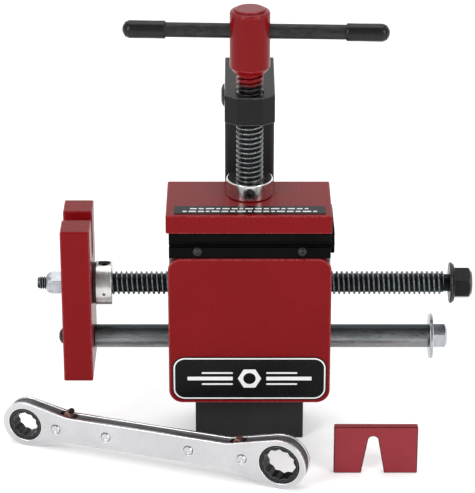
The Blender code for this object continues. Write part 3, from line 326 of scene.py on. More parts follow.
def threaded(start, end, crest, depth, lead, put, sides=FINE, before=(), after=()):
    """A helical ridge from start to end, then the plain profiles before and after it.

    Point (k, p) is at k / sides of a turn and at height lead * (k / sides + share p), with radius
    crest - depth * (1 - rise p).  Past either end it slides back to the end's plane, at the
    radius where that plane cuts the ridge, so that both ends finish in one ring.
    """
    turns = int(math.ceil((end - start) / lead)) + 1
    step = np.arange(-sides, turns * sides + 1)[:, None]
    angle = 2 * np.pi * (step % sides) / sides
    height = start + lead * (step / sides + RIDGE_SHARE[None, :])

    def radius_at(share):
        """The radius at a share of the lead along the ridge's section."""
        return crest - depth * (1.0 - np.interp(share % 1.0, RIDGE_SHARE, RIDGE_RISE))
    radius = np.broadcast_to(crest - depth * (1.0 - RIDGE_RISE), height.shape).copy()
    # Crests carry the mask: rubbed steel and a painted highlight.
    wear_and_sheen_mask = np.broadcast_to(RIDGE_RISE, height.shape).copy()
    for plane, past in ((start, height < start), (end, height > end)):
        cut = np.broadcast_to(radius_at((plane - start) / lead - step / sides), height.shape)
        radius[past] = cut[past]
        height = np.where(past, plane, height)
    points = put(radius * np.cos(angle), radius * np.sin(angle), height)
    rows, columns = height.shape
    row = np.arange(rows - 1)[:, None]
    column = np.arange(columns - 1)[None, :]
    corner = row * columns + column
    faces = np.stack((corner, corner + columns, corner + columns + 1, corner + 1), axis=-1)
    patches = [(points.reshape(-1, 3), faces.reshape(-1, 4), wear_and_sheen_mask.reshape(-1))]
    around = np.arange(sides)
    for plane, plain in ((start, before), (end, after)):
        plain = np.asarray(plain, float)
        ring = radius_at((plane - start) / lead - around / sides)
        radii = np.concatenate((ring[None], np.repeat(plain[:, 1:2], sides, axis=1)))
        along = np.concatenate(([plane], plain[:, 0]))[:, None]
        turn = 2 * np.pi * around / sides
        rows_of = put(radii * np.cos(turn), radii * np.sin(turn), along)
        patches.append((rows_of.reshape(-1, 3), grid_faces(len(along), sides),
                        np.zeros(rows_of.shape[0] * sides)))
    return patches


# ---- pieces --------------------------------------------------------------------------------
def linked(name, data):
    """A new object in the scene."""
    made = bpy.data.objects.new(name, data)
    bpy.context.scene.collection.objects.link(made)
    return made


def mesh_from(name, patches):
    """Join the patches where their points meet, drop faces that closed up, and turn them out."""
    starts = np.cumsum([0] + [len(points) for points, _, _ in patches[:-1]])
    points = np.concatenate([points for points, _, _ in patches])
    faces = np.concatenate([faces + start for (_, faces, _), start in zip(patches, starts)])
    wear_and_sheen_mask = np.concatenate([wear_and_sheen_mask for _, _, wear_and_sheen_mask in patches])
    keys = np.round(points / SAME_PLACE).astype(np.int64)
    _, first, index = np.unique(keys, axis=0, return_index=True, return_inverse=True)
    faces = index.reshape(-1)[faces]
    same = faces == np.roll(faces, -1, axis=1)
    closed_up = same.sum(axis=1)
    quads = faces[closed_up == 0]
    nearly = closed_up == 1
    triangles = faces[nearly][~same[nearly]].reshape(-1, 3)
    mesh = bpy.data.meshes.new(name)
    mesh.from_pydata(points[first].tolist(), [], quads.tolist() + triangles.tolist())
    # The mask for rubbed metal and painted highlights on rounded edges and thread crests.
    mesh.attributes.new("wear_and_sheen", "FLOAT", "POINT").data.foreach_set("value", wear_and_sheen_mask[first])
    mesh.validate()
    shell = bmesh.new()
    shell.from_mesh(mesh)
    bmesh.ops.recalc_face_normals(shell, faces=shell.faces)
    shell.to_mesh(mesh)
    shell.free()
    mesh.shade_smooth()
    mesh.set_sharp_from_angle(angle=SHARP)
    return mesh


def piece(name, patches, finish, node=None, body=None):
    """Make a piece, let it ride on its body, and let it stand for its node when it has one."""
    made = linked(name, mesh_from(name, patches))
    made.data.materials.append(finish["material"])
    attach(made, body or frame["nodes"][node]["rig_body"])
    if node:
        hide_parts(node)
    return made


def drilled(made, *cutters):
    """Take each cutter's shape out of a piece for good."""
    helpers = []
    for patches in cutters:
        helper = linked("cutter", mesh_from("cutter", patches))
        helpers.append(helper)
        cut = made.modifiers.new("drill", "BOOLEAN")
        cut.operation = "DIFFERENCE"
        cut.solver = "EXACT"
        cut.object = helper
    view = bpy.context.evaluated_depsgraph_get()
    result = bpy.data.meshes.new_from_object(made.evaluated_get(view))
    made.modifiers.clear()
    made.data = result
    result.shade_smooth()
    result.set_sharp_from_angle(angle=SHARP)
    for helper in helpers:
        bpy.data.objects.remove(helper)
    return made


def socketed(made, flats, start, end, put):
    """Sink a hexagon socket into a screw's head."""
    return drilled(made, slab([hexagon(flats)], start, end, put, 0.0))


# ---- finishes ------------------------------------------------------------------------------
def add(tree, kind, inputs=None, **settings):
    """Add a node, set its settings, and link or set each input."""
    made = tree.nodes.new(kind)
    for key, value in settings.items():
        setattr(made, key, value)
    for key, value in (inputs or {}).items():
        if isinstance(value, bpy.types.NodeSocket):
            tree.links.new(value, made.inputs[key])
        else:
            made.inputs[key].default_value = value
    return made


def grain(tree, size, turn=0.0, detail=4.0, rough=0.55):
    """Noise whose grains have the given size in mm, one for all ways or one each for X, Y and Z."""
    place = add(tree, "ShaderNodeTexCoord").outputs["Object"]
    scale = tuple(1.0 / (np.broadcast_to(size, 3) * MM))
    moved = add(tree, "ShaderNodeMapping", {"Vector": place, "Rotation": (0.0, 0.0, turn)})
    moved = add(tree, "ShaderNodeMapping", {"Vector": moved.outputs["Vector"], "Scale": scale})
    noise = add(tree, "ShaderNodeTexNoise", {"Vector": moved.outputs["Vector"], "Scale": 1.0,
                                             "Detail": detail, "Roughness": rough})
    return noise.outputs["Fac"]


def ranged(tree, value, low, high, to_low, to_high):
    """Carry a value from one range to another, held at its ends."""
    made = add(tree, "ShaderNodeMapRange", {"Value": value, "From Min": low, "From Max": high,
                                            "To Min": to_low, "To Max": to_high})
    return made.outputs["Result"]


def mixed(tree, share, one, other):
    """One colour goes over to the other."""
    mix = tree.nodes.new("ShaderNodeMix")
    mix.data_type = "RGBA"
    for socket, value in ((mix.inputs[0], share), (mix.inputs[6], one), (mix.inputs[7], other)):
        if isinstance(value, bpy.types.NodeSocket):
            tree.links.new(value, socket)
        else:
            socket.default_value = value if socket == mix.inputs[0] else (*value, 1.0)
    return mix.outputs[2]


def make_finish(name, slot, tones, blotch, fine, roughness, metallic, specular, bump, wear_and_sheen_tone=None,
                wear_and_sheen_share=None, turn=0.0, coat=0.0):
    """Two tones in blotches, fine grain in roughness and bump, rubbed edges with a painted
    highlight.
    """
    material = bpy.data.materials.new(name)
    material.use_nodes = True
    tree = material.node_tree
    shader = tree.nodes["Principled BSDF"]
    large = grain(tree, blotch, turn, 3.0)
    small = grain(tree, fine, turn, 5.0, 0.6)
    both = add(tree, "ShaderNodeMath", {0: ranged(tree, large, 0.3, 0.7, 0.0, 0.6),
                                        1: ranged(tree, small, 0.3, 0.7, 0.0, 0.4)},
               operation="ADD").outputs["Value"]
    colour = mixed(tree, both, tones[0], tones[1])
    # Rounded edges and thread crests go lighter: rubbed metal, and a painted highlight for the
    # light they catch.
    if wear_and_sheen_tone:
        edge = add(tree, "ShaderNodeAttribute", attribute_name="wear_and_sheen").outputs["Fac"]
        broken = ranged(tree, small, 0.35, 0.65, *wear_and_sheen_share)
        share = add(tree, "ShaderNodeMath", {0: edge, 1: broken}, operation="MULTIPLY")
        colour = mixed(tree, share.outputs["Value"], colour, wear_and_sheen_tone)
    tree.links.new(colour, shader.inputs["Base Color"])
    tree.links.new(ranged(tree, small, 0.3, 0.7, *roughness), shader.inputs["Roughness"])
    shader.inputs["Metallic"].default_value = metallic
    shader.inputs["Specular IOR Level"].default_value = specular
    shader.inputs["Coat Weight"].default_value = coat
    raised = add(tree, "ShaderNodeBump", {"Height": small, "Strength": bump[0],
                                          "Distance": bump[1] * MM})
    tree.links.new(raised.outputs["Normal"], shader.inputs["Normal"])
    return {"material": material, "slot": slot, "tree": tree, "shader": shader, "colour": colour}


# Each finish: its name here, material, slot, dark and light tone, the grain sizes of its blotches
# and of its fine pattern in mm, roughness, metallic, specular, the bump's strength and height in
# mm, the tone of rubbed edges and thread crests, which is partly a painted highlight, how much of
# it shows, the grain's turn, and the clear coat.
FINISHES = (
    ("red paint", "red_enamel", "red_paint", ((0.174, 0.0028, 0.0044), (0.203, 0.0043, 0.0061)), 60,
     1.3, (0.24, 0.36), 0.0, 0.10, (0.12, 0.25), (0.42, 0.10, 0.11), (0.0, 0.55)),
    ("black paint", "black_enamel", "black_paint",
     ((0.0085, 0.0080, 0.0078), (0.0165, 0.0150, 0.0150)), 45, 1.0, (0.34, 0.50), 0.0, 0.14,
     (0.18, 0.25), (0.15, 0.15, 0.15), (0.0, 0.7)),
    ("tube paint", "black_tube_enamel", "black_paint",
     ((0.0165, 0.0160, 0.0158), (0.0265, 0.0250, 0.0250)), 45, 1.0, (0.34, 0.50), 0.0, 0.14,
     (0.18, 0.25), (0.15, 0.15, 0.15), (0.0, 0.7)),
    ("adapter paint", "adapter_enamel", "red_paint", ((0.238, 0.026, 0.034), (0.272, 0.034, 0.043)),
     18, 1.3, (0.26, 0.38), 0.0, 0.10, (0.12, 0.25), (0.060, 0.012, 0.018), (0.6, 1.0)),
    ("knob paint", "glossy_knob_enamel", "red_paint",
     ((0.168, 0.0026, 0.0042), (0.196, 0.0040, 0.0058)), 40, 1.6, (0.20, 0.28), 0.0, 0.10,
     (0.03, 0.25), (0.40, 0.09, 0.10), (0.0, 0.5), 0.0, 0.06),
    # Painted shade: black paint darkened for the jaw's shadow over the tray and carrier.
    ("tray paint", "tray_lacquer", "black_paint",
     ((0.0020, 0.0020, 0.0020), (0.0050, 0.0048, 0.0048)), 25, 1.0, (0.40, 0.58), 0.0, 0.03,
     (0.18, 0.25), (0.07, 0.07, 0.07), (0.0, 0.6)),
    ("black oxide", "black_oxide_steel", "black_oxide",
     ((0.014, 0.014, 0.015), (0.034, 0.033, 0.033)), 14, 0.9, (0.32, 0.52), 0.75, 0.4, (0.25, 0.12),
     (0.26, 0.26, 0.27), (0.0, 0.6)),
    # Very dark tones: the screw's black oxide, darkened further as painted shade in the thread
    # roots.
    ("thread oxide", "oiled_thread", "black_oxide", ((0.003, 0.005, 0.006), (0.010, 0.014, 0.016)),
     9, 0.7, (0.22, 0.38), 0.85, 0.3, (0.10, 0.08), (0.34, 0.37, 0.39), (0.05, 0.85)),
    ("bar oxide", "rolled_bar", "black_oxide", ((0.010, 0.010, 0.010), (0.048, 0.047, 0.046)),
     (9, 3, 3), (2.2, 0.8, 0.8), (0.36, 0.60), 0.7, 0.5, (0.35, 0.15)),
    ("turned steel x", "turned_collar_steel_x", "machined_steel",
     ((0.36, 0.35, 0.345), (0.74, 0.73, 0.72)), 18, (0.16, 5, 5), (0.20, 0.36), 1.0, 0.5,
     (0.22, 0.05), (0.85, 0.85, 0.85), (0.0, 0.8)),
    ("turned steel z", "turned_collar_steel_z", "machined_steel",
     ((0.58, 0.57, 0.56), (0.84, 0.83, 0.82)), 18, (5, 5, 0.16), (0.12, 0.22), 1.0, 0.5,
     (0.22, 0.05), (0.88, 0.88, 0.88), (0.0, 0.8)),
    ("block steel", "sawn_block_steel", "machined_steel",
     ((0.16, 0.15, 0.155), (0.27, 0.255, 0.26)), 30, (6, 0.5, 0.5), (0.30, 0.48), 1.0, 0.5,
     (0.25, 0.08)),
    ("rod steel", "mill_scale_rod", "dark_steel", ((0.100, 0.114, 0.120), (0.330, 0.344, 0.350)),
     (34, 5, 5), (5, 0.7, 0.7), (0.24, 0.44), 0.95, 0.5, (0.16, 0.08), (0.5, 0.5, 0.5), (0.0, 0.8)),
    ("core steel", "wrench_core_steel", "dark_steel",
     ((0.060, 0.060, 0.063), (0.150, 0.150, 0.155)), 12, 0.8, (0.40, 0.58), 0.8, 0.5, (0.2, 0.1)),
    ("zinc", "bright_zinc", "zinc", ((0.30, 0.32, 0.35), (0.50, 0.52, 0.55)), 6, 0.6, (0.22, 0.40),
     1.0, 0.5, (0.14, 0.06), (0.82, 0.84, 0.88), (0.0, 0.8)),
    ("satin chrome", "satin_nickel_chrome", "chrome", ((0.51, 0.51, 0.525), (0.62, 0.62, 0.635)),
     26, (3.2, 3.2, 0.30), (0.24, 0.36), 1.0, 0.5, (0.10, 0.05), (0.95, 0.95, 0.96), (0.0, 0.9),
     -WRENCH_TURN),
    ("bronze", "bearing_bronze", "bronze", ((0.40, 0.25, 0.11), (0.62, 0.42, 0.20)), 8, 0.5,
     (0.28, 0.44), 1.0, 0.5, (0.15, 0.06)),
    ("pawl brown", "copper_brown_pawl", "pawl_brown",
     ((0.110, 0.052, 0.046), (0.210, 0.100, 0.086)), 3, 0.5, (0.34, 0.52), 0.6, 0.5, (0.25, 0.08),
     (0.34, 0.16, 0.12), (0.0, 0.8)),
    ("rubber", "black_rubber", "rubber", ((0.0018, 0.0018, 0.0018), (0.0045, 0.0044, 0.0042)), 10,
     0.8, (0.62, 0.80), 0.0, 0.05, (0.35, 0.20)),
    ("grip rubber", "dipped_vinyl", "rubber", ((0.0040, 0.0040, 0.0042), (0.0080, 0.0080, 0.0082)),
     16, 1.4, (0.24, 0.36), 0.0, 0.30, (0.10, 0.15)),
    ("black plastic", "moulded_cap_plastic", "black_plastic",
     ((0.014, 0.014, 0.014), (0.024, 0.024, 0.024)), 12, 0.6, (0.42, 0.56), 0.0, 0.5, (0.2, 0.08)),
    ("label film", "label_film_black", "label_film",
     ((0.0024, 0.0026, 0.0028), (0.0050, 0.0052, 0.0056)), 40, 0.9, (0.26, 0.38), 0.0, 0.12,
     (0.05, 0.05)),
    ("white ink", "label_ink_white", "label_film", ((0.74, 0.75, 0.76), (0.86, 0.87, 0.88)), 25,
     0.5, (0.34, 0.46), 0.0, 0.3, (0.05, 0.03)),
    ("head oxide", "head_black_oxide", "black_oxide",
     ((0.008, 0.008, 0.008), (0.020, 0.019, 0.019)), 11, 0.8, (0.26, 0.44), 0.75, 0.3, (0.25, 0.12),
     (0.17, 0.17, 0.17), (0.0, 0.7)),
    ("clamp thread", "oiled_clamp_thread", "black_oxide",
     ((0.005, 0.006, 0.007), (0.016, 0.019, 0.021)), 9, 0.7, (0.20, 0.36), 0.85, 0.3, (0.10, 0.08),
     (0.38, 0.40, 0.40), (0.08, 0.9)),
)


def make_finishes():
    f = {row[0]: make_finish(*row[1:]) for row in FINISHES}
    f["drive thread"] = f["thread oxide"]
    return f


def height_in(tree):
    """The height of the point being shaded."""
    place = add(tree, "ShaderNodeTexCoord").outputs["Object"]
    return add(tree, "ShaderNodeSeparateXYZ", {"Vector": place}).outputs["Z"]


def shade_the_top(finish, start, end, dark):
    """Painted shade along a bar's top: its colour goes over to dark between two heights."""
    tree = finish["tree"]
    share = ranged(tree, height_in(tree), start, end, 0.0, 1.0)
    colour = mixed(tree, share, finish["colour"], dark)
    tree.links.new(colour, finish["shader"].inputs["Base Color"])


def spray_and_shade_the_thread(finish, start, end, shade_from):
    """Red overspray on the thread under the knob: paint fades in with height, in broken grains.

    Painted shade darkens the thread from a little above the given height, the bar's top, up under
    the knob that shades it.
    """
    tree = finish["tree"]
    height = height_in(tree)
    share = add(tree, "ShaderNodeMath", {0: ranged(tree, height, start, end, 0.0, 1.0),
                                         1: ranged(tree, grain(tree, 2.0), 0.35, 0.6,
                                                   0.4, 1.0)}, operation="MULTIPLY")
    # Painted shade: above the bar's top the thread goes dark, standing for the knob's shade.
    knob_shade = ranged(tree, height, shade_from - 0.5 * MM, shade_from + 1.0 * MM, 0.0, 0.85)
    colour = mixed(tree, knob_shade, finish["colour"], (0.012, 0.008, 0.008))
    colour = mixed(tree, share.outputs["Value"], colour, (0.225, 0.008, 0.010))
    tree.links.new(colour, finish["shader"].inputs["Base Color"])


# ---- the frame's pieces --------------------------------------------------------------------
def box_slab(node, axis, name, finish, corner, edge, holes=(), outline=None):
    """A slab that fills a node's box along an axis, with the given outline or a rectangle."""
    low, high = ends(node)
    along = "XYZ".index(axis)
    flat = {"X": (1, 2), "Y": (0, 2), "Z": (0, 1)}[axis]
    if outline is None:
        outline = oblong(low[list(flat)], high[list(flat)], corner, 10 if corner > 3 * MM else 3)
    return piece(name, slab([outline, *holes], low[along], high[along], lying(axis), edge),
                 finish, node)


def stepped_way(runner, left, right):
    """What is cut out of the block for a screw or rod: a seat at each end and a bore between."""
    put, _, _, radius = middle_line(runner, "X")
    _, left_start, left_end, left_radius = middle_line(left, "X")
    _, right_start, right_end, right_radius = middle_line(right, "X")
    bore = radius + BORE_ROOM
    near, far = left_end + SEAT_ROOM, right_start - SEAT_ROOM
    left_radius += SEAT_ROOM
    right_radius += SEAT_ROOM
    return turned([(left_start - 2 * MM, 0.0), (left_start - 2 * MM, left_radius),
                   (near, left_radius), (near, bore), (far, bore), (far, right_radius),
                   (right_end + 2 * MM, right_radius), (right_end + 2 * MM, 0.0)], put, ROUND)


def make_label(f):
    """The plate's black label with its white rule, and a nut between plain bars for a mark."""
    low, high = ends("front_label")
    face, back = low[1], high[1]
    low, high = low[[0, 2]], high[[0, 2]]
    centre = (low + high) / 2
    put = lying("Y")
    piece("label_film", slab([oblong(low, high, LABEL_CORNER)], back, face, put, 0.12 * MM),
          f["label film"], "front_label")
    printed = [[oblong(low + inset, high - inset, LABEL_CORNER - inset) for inset in RULE_INSETS],
               [hexagon(MARK_NUT[0], 0.0) + centre, circle(MARK_NUT[1], FINE, centre)]]
    for side in (-1, 1):
        for rise, length, thick in LABEL_BARS:
            near, far = sorted((side * BARS_FROM, side * (BARS_FROM + length)))
            floor = centre[1] + rise - thick / 2
            printed.append([oblong((centre[0] + near, floor), (centre[0] + far, floor + thick),
                                   0.6 * MM, 3)])
    ink = []
    for loops in printed:
        ink += slab(loops, face - INK_GAP, face - INK_GAP - INK, put, INK_GAP, 1)
    piece("label_ink", ink, f["white ink"], body="frame")


def domed_screw(node, axis, name, finish, crown, rises, shank, ease, flats, sink):
    """A screw whose head rises in three steps from its crown's share of its radius."""
    put, start, end, radius = middle_line(node, axis)
    first, second, face = start + np.array(rises)
    dome = [(start, 0.0), (start, radius * crown), (first, radius * 0.85), (second, radius),
            (face, radius), (face, shank), (end, shank), (end, 0.0)]
    made = piece(name, turned(dome, put, FINE, ease=ease), finish, node)
    socketed(made, flats, start - MM, start + sink, put)


def make_frame_pieces(f):
    """Tang, block, front plate with its label, column, bar and their screws."""
    box_slab("base_tang", "Z", "tang_milled", f["tube paint"], 1.4 * MM, 0.9 * MM)
    block = box_slab("main_block", "X", "block_sawn", f["block steel"], 1.2 * MM, 0.8 * MM)
    drilled(block, stepped_way("drive_screw", "drive_nut", "drive_bush"),
            stepped_way("guide_rod", "rod_bush_left", "rod_bush_right"))
    box_slab("front_plate", "Y", "plate_painted", f["red paint"], PLATE_CORNER, 1.1 * MM)
    make_label(f)

    low, high = ends("column_tube")
    inner = oblong(low[:2] + COLUMN_WALL, high[:2] - COLUMN_WALL, COLUMN_CORNER - COLUMN_WALL, 4)
    box_slab("column_tube", "Z", "column_painted", f["tube paint"], COLUMN_CORNER, 0.3 * MM,
             [inner])

    low, high = ends("top_bar")
    cx, cy = BAR_CHAMFER
    outline = [(low[0] + cx, low[1]), (high[0] - cx, low[1]), (high[0], low[1] + cy),
               (high[0], high[1]), (low[0], high[1]), (low[0], low[1] + cy)]
    way = circle(middle_line("clamp_screw", "Z")[3] + PLAY, ROUND, middle("clamp_screw")[:2])
    bar = box_slab("top_bar", "Z", "bar_milled", f["black paint"], 0.0, 0.8 * MM, [way],
                   eased(outline, 1.2 * MM, steps=3)[0])

    put, start, end, radius = middle_line("bar_screw", "Z")
    under = end - CAP_HEAD
    drilled(bar, turned(cylinder(under, end + 2 * MM, radius + PLAY), put))
    head = piece("bar_cap_screw",
                 turned([(start, 0.0), (start, CAP_SHANK), (under, CAP_SHANK), (under, radius),
                         (end, radius), (end, 0.0)], put, FINE, ease=0.5 * MM),
                 f["black oxide"], "bar_screw")
    socketed(head, 8.0 * MM, end - 4.5 * MM, end + MM, put)
    domed_screw("bar_lock_bolt", "X", "bar_lock_bolt_turned", f["black oxide"], 0.55,
                (0.9 * MM, 2.3 * MM, 2.6 * MM), 4.5 * MM, 0.6 * MM, 5.5 * MM, 2.0 * MM)
    for node in ("tray_screw_left", "tray_screw_right"):
        domed_screw(node, "Y", node + "_domed", f["black oxide"], 0.5,
                    (0.7 * MM, 1.8 * MM, 2.0 * MM), 1.8 * MM, 0.35 * MM, 2.6 * MM, 1.2 * MM)


def channel(low, high, floor_low, lip):
    """A tray's section from front to back: a floor with a lip at each side."""
    if floor_low:
        return [(low[1], low[2]), (high[1], low[2]), (high[1], high[2]), (high[1] - lip, high[2]),
                (high[1] - lip, low[2] + lip), (low[1] + lip, low[2] + lip),
                (low[1] + lip, high[2]), (low[1], high[2])]
    return [(low[1], high[2]), (low[1], low[2]), (low[1] + lip, low[2]),
            (low[1] + lip, high[2] - lip), (high[1] - lip, high[2] - lip),
            (high[1] - lip, low[2]), (high[1], low[2]), (high[1], high[2])]


def rough_cut(patches, low, high, reach):
    """Sawn rubber ends: points near either end move along X by two crossed ripples."""
    made = []
    for points, faces, wear_and_sheen_mask in patches:
        near = np.clip(1.0 - np.minimum(points[:, 0] - low, high - points[:, 0]) / (2 * MM), 0, 1)
        ripple = (np.sin(points[:, 1] * 1700.0) +
                  np.sin(points[:, 1] * 610.0 + points[:, 2] * 2300.0))
        side = np.where(points[:, 0] > (low + high) / 2, -1.0, 1.0)
        points = points.copy()
        points[:, 0] += side * near * reach * (0.5 + 0.25 * ripple)
        made.append((points, faces, wear_and_sheen_mask))
    return made


def stepped(outline, spacing):
    """The outline with its long sides cut into steps of about the given spacing."""
    ahead = np.roll(outline, -1, axis=0)
    counts = np.maximum(1, np.round(np.linalg.norm(ahead - outline, axis=1) / spacing)).astype(int)
    start = np.repeat(outline, counts, axis=0)
    move = np.repeat(ahead - outline, counts, axis=0)
    number = np.arange(len(start)) - np.repeat(np.cumsum(counts) - counts, counts)
    return start + move * (number / np.repeat(counts, counts))[:, None]


def make_pads(f):
    """Tray and carrier, and the two rubber pads with their V grooves."""
    lip = 3.0 * MM
    for node, name, floor_low in (("lower_tray", "tray_folded", True),
                                  ("upper_carrier", "carrier_folded", False)):
        section = channel(*ends(node), floor_low, lip)
        # Tray and carrier take the black paint darkened as painted shade.
        box_slab(node, "X", name, f["tray paint"], 0.0, 0.3 * MM,
                 outline=eased(section, 0.5 * MM, steps=3)[0])
    half, depth = 7.5 * MM, 5.0 * MM
    shaft_y = 7.0 * MM
    for name, node, opens_up in (("lower_pad_rubber", "lower_pad", True),
                                 ("upper_pad_rubber", "upper_pad", False)):
        low, high = ends(node)
        near, far = (high[2], low[2]) if opens_up else (low[2], high[2])
        deep = near + math.copysign(depth, far - near)
        outline = [(low[1], far), (high[1], far), (high[1], near), (shaft_y + half, near),
                   (shaft_y, deep), (shaft_y - half, near), (low[1], near)]
        outline = stepped(eased(outline, 0.8 * MM, steps=3)[0], 1.5 * MM)
        patches = slab([outline], low[0], high[0], lying("X"), 0.5 * MM)
        piece(name, rough_cut(patches, low[0], high[0], 0.8 * MM), f["rubber"], node)


def make_jaw_pieces(f):
    """The painted jaw and its strip with two rows of plain dashes."""
    box_slab("upper_jaw", "Z", "jaw_painted", f["red paint"], 1.4 * MM, 0.9 * MM,
             [circle(TIP_RADIUS + PLAY, ROUND, middle("clamp_screw")[:2])])
    low, high = ends("jaw_label")
    put = lying("Z")
    piece("jaw_strip", slab([oblong(low[:2], high[:2], 1.5 * MM, 4)], low[2], high[2], put, INK),
          f["label film"], "jaw_label")
    ink = []
    for row, (height, reach) in enumerate(DASH_ROWS):
        at, number = -reach, row * 3
        while at < reach:
            length = DASHES[number % len(DASHES)] * MM
            dash = oblong((at, low[1] + height - 1.1 * MM),
                          (min(at + length, reach), low[1] + height + 1.1 * MM), 0.4 * MM, 2)
            ink += slab([dash], high[2] + INK_GAP, high[2] + INK, put, INK_GAP, 1)
            at += length + 1.6 * MM
            number += 1
    piece("jaw_strip_ink", ink, f["white ink"], body="jaw")


# ---- the clamp screw and cross bar ---------------------------------------------------------
def make_clamp(f):
    """Threaded screw, collar with its set screw, knob with its plug, and the cross bar."""
    put, start, end, radius = middle_line("clamp_screw", "Z")
    collar_put, collar_low, collar_high, collar_radius = middle_line("clamp_collar", "Z")
    knob_put, knob_low, knob_high, knob_radius = middle_line("clamp_knob", "Z")
    root = radius - RIDGE_DEPTH
    bottom = collar_low + THREAD_HIDDEN
    top = knob_low + THREAD_HIDDEN
    # Red overspray under the knob, and painted shade on the thread from the bar's top up to the
    # knob.
    spray_and_shade_the_thread(f["clamp thread"], knob_low - 11.0 * MM, knob_low - 7.0 * MM,
                     ends("top_bar")[1][2])
    piece("clamp_screw_threaded",
          threaded(bottom, top, radius, RIDGE_DEPTH, LEAD, put, FINE,
                   [(bottom, root), (collar_low, root), (collar_low, TIP_RADIUS),
                    (start + 0.5 * MM, TIP_RADIUS), (start, TIP_RADIUS - 0.5 * MM), (start, 0.0)],
                   [(top, root), (end, root), (end, 0.0)]), f["clamp thread"], "clamp_screw")

    bore = radius + PLAY
    collar = piece("clamp_collar_turned",
                   turned(sleeve(collar_low, collar_high, bore, collar_radius), collar_put, ROUND,
                          True, 0.8 * MM), f["turned steel z"], "clamp_collar")
    put, start, stop, radius = middle_line("collar_set_screw", "Y")
    hole = radius + 0.25 * MM
    drilled(collar, turned([(start - 3 * MM, 0.0), (start - 3 * MM, hole + 2.2 * MM),
                            (start - 0.4 * MM, hole), (stop + 2 * MM, hole),
                            (stop + 2 * MM, 0.0)], put, FINE))
    set_screw = piece("collar_set_screw_turned",
                      turned(cylinder(start, stop, radius), put, FINE, ease=0.8 * MM),
                      f["black oxide"], "collar_set_screw")
    socketed(set_screw, 4.6 * MM, start - MM, start + 3.4 * MM, put)

    _, plug_low, plug_high, plug_radius = middle_line("knob_plug", "Z")
    seat = plug_radius + PLAY
    profile = [(end + PLAY, 0.0), (end + PLAY, bore), (knob_low, bore),
               (knob_low, bore + 1.4 * MM), (knob_low + KNOB_TAPER, knob_radius),
               (knob_high - 2.2 * MM, knob_radius), (knob_high - 0.7 * MM, knob_radius - 0.7 * MM),
               (knob_high, knob_radius - 2.4 * MM), (knob_high, seat), (plug_low - PLAY, seat),
               (plug_low - PLAY, 0.0)]
    knob = piece("knob_painted", turned(profile, knob_put, ROUND, ease=1.2 * MM), f["knob paint"],
                 "clamp_knob")
    bar_put, bar_start, bar_end, bar_radius = cross_bar_rule()
    reach = 30 * MM
    drilled(knob, turned(cylinder(-reach, reach, bar_radius + PLAY), bar_put, ROUND))
    piece("knob_plug_painted",
          turned(cylinder(plug_low, plug_high, plug_radius), knob_put, ROUND, ease=1.2 * MM),
          f["knob paint"], "knob_plug")

    piece("cross_bar_rolled",
          turned(cylinder(bar_start, bar_end, bar_radius), bar_put, ROUND, ease=0.8 * MM),
          f["bar oxide"], "handle_bar")
    for node, tip, way in (("handle_cap_left", bar_start - 2.8 * MM, 1),
                           ("handle_cap_right", bar_end + 2.8 * MM, -1)):
        inner = bar_radius + 0.2 * MM
        angle = np.linspace(0.0, np.pi / 2, 14)
        dome = np.stack((tip + way * CAP_RADIUS * 0.95 * (1.0 - np.cos(angle)),
                         CAP_RADIUS * np.sin(angle)), axis=1)
        mouth = tip + way * CAP_LENGTH
        rest = [(mouth - way * 9.0 * MM, CAP_RADIUS * 0.985), (mouth - way * 2.2 * MM, CAP_RADIUS),
                (mouth - way * 0.5 * MM, CAP_RADIUS * 0.99), (mouth, CAP_RADIUS * 0.94),
                (mouth, inner), (tip + way * 2.5 * MM, inner), (tip + way * 2.5 * MM, 0.0)]
        piece(node + "_dipped", turned(np.concatenate((dome, rest)), bar_put, ROUND),
              f["grip rubber"], node)


def cross_bar_rule():
    """The cross bar's axis: it lies 2.5 degrees off X, and its ends come from its own box."""
    low, high = ends("handle_bar")
    turn = math.radians(-2.5)
    along = np.array([math.cos(turn), math.sin(turn), 0.0])
    beside = np.array([-math.sin(turn), math.cos(turn), 0.0])
    knob_low, knob_high = ends("clamp_knob")
    origin = (knob_low + knob_high) / 2
    origin[2] = (low[2] + high[2]) / 2
    radius = (high[2] - low[2]) / 2
    slant = radius * abs(math.sin(turn))
    start = (low[0] + slant - origin[0]) / along[0]
    end = (high[0] - slant - origin[0]) / along[0]
    return placed(origin, beside, (0.0, 0.0, 1.0), along), start, end, radius


# ---- the puller ----------------------------------------------------------------------------
def hex_bar(flats, start, end, put, bore=0.0):
    """A hexagonal bar, bored if asked."""
    return slab([eased(hexagon(flats), 0.5 * MM, steps=2)[0]] +
                ([circle(bore, FINE)] if bore else []), start, end, put, 0.35 * MM, 2)


def cone_cutter(flats, end, put, depth):
    """A ring that turns a hex's corners down: outside a cone that meets the flats' circle."""
    outer = flats * 0.75
    inner = flats * 0.37
    corner = flats / math.sqrt(3) + 0.3 * MM
    return turned([(end + 2 * MM, inner * 0.9), (end, inner), (end - depth, corner),
                   (end - depth, outer), (end + 2 * MM, outer)], put, ROUND, True)


def make_yoke(f):
    """The painted fork, bored for its bush and for the rod's button screw."""
    low, high = ends("yoke")
    y = middle("yoke")[1]
    half = SLOT_WIDTH / 2
    slot = arc((y, SLOT_BOTTOM + half), half, 0.0, -180.0, 24)
    corners = np.concatenate(([(low[1], low[2]), (high[1], low[2]), (high[1], high[2]),
                               (y + half, high[2])], slot,
                              [(y - half, high[2]), (low[1], high[2])]))
    bush_radius = middle_line("yoke_bush", "X")[3]
    box_slab("yoke", "X", "yoke_painted", f["red paint"], 0.0, 1.1 * MM,
             [circle(bush_radius + 0.2 * MM, FINE, (y, middle("drive_screw")[2])),
              circle(ROD_TAPPING, FINE, (y, middle("guide_rod")[2]))],
             eased(corners, 1.6 * MM, steps=4)[0])


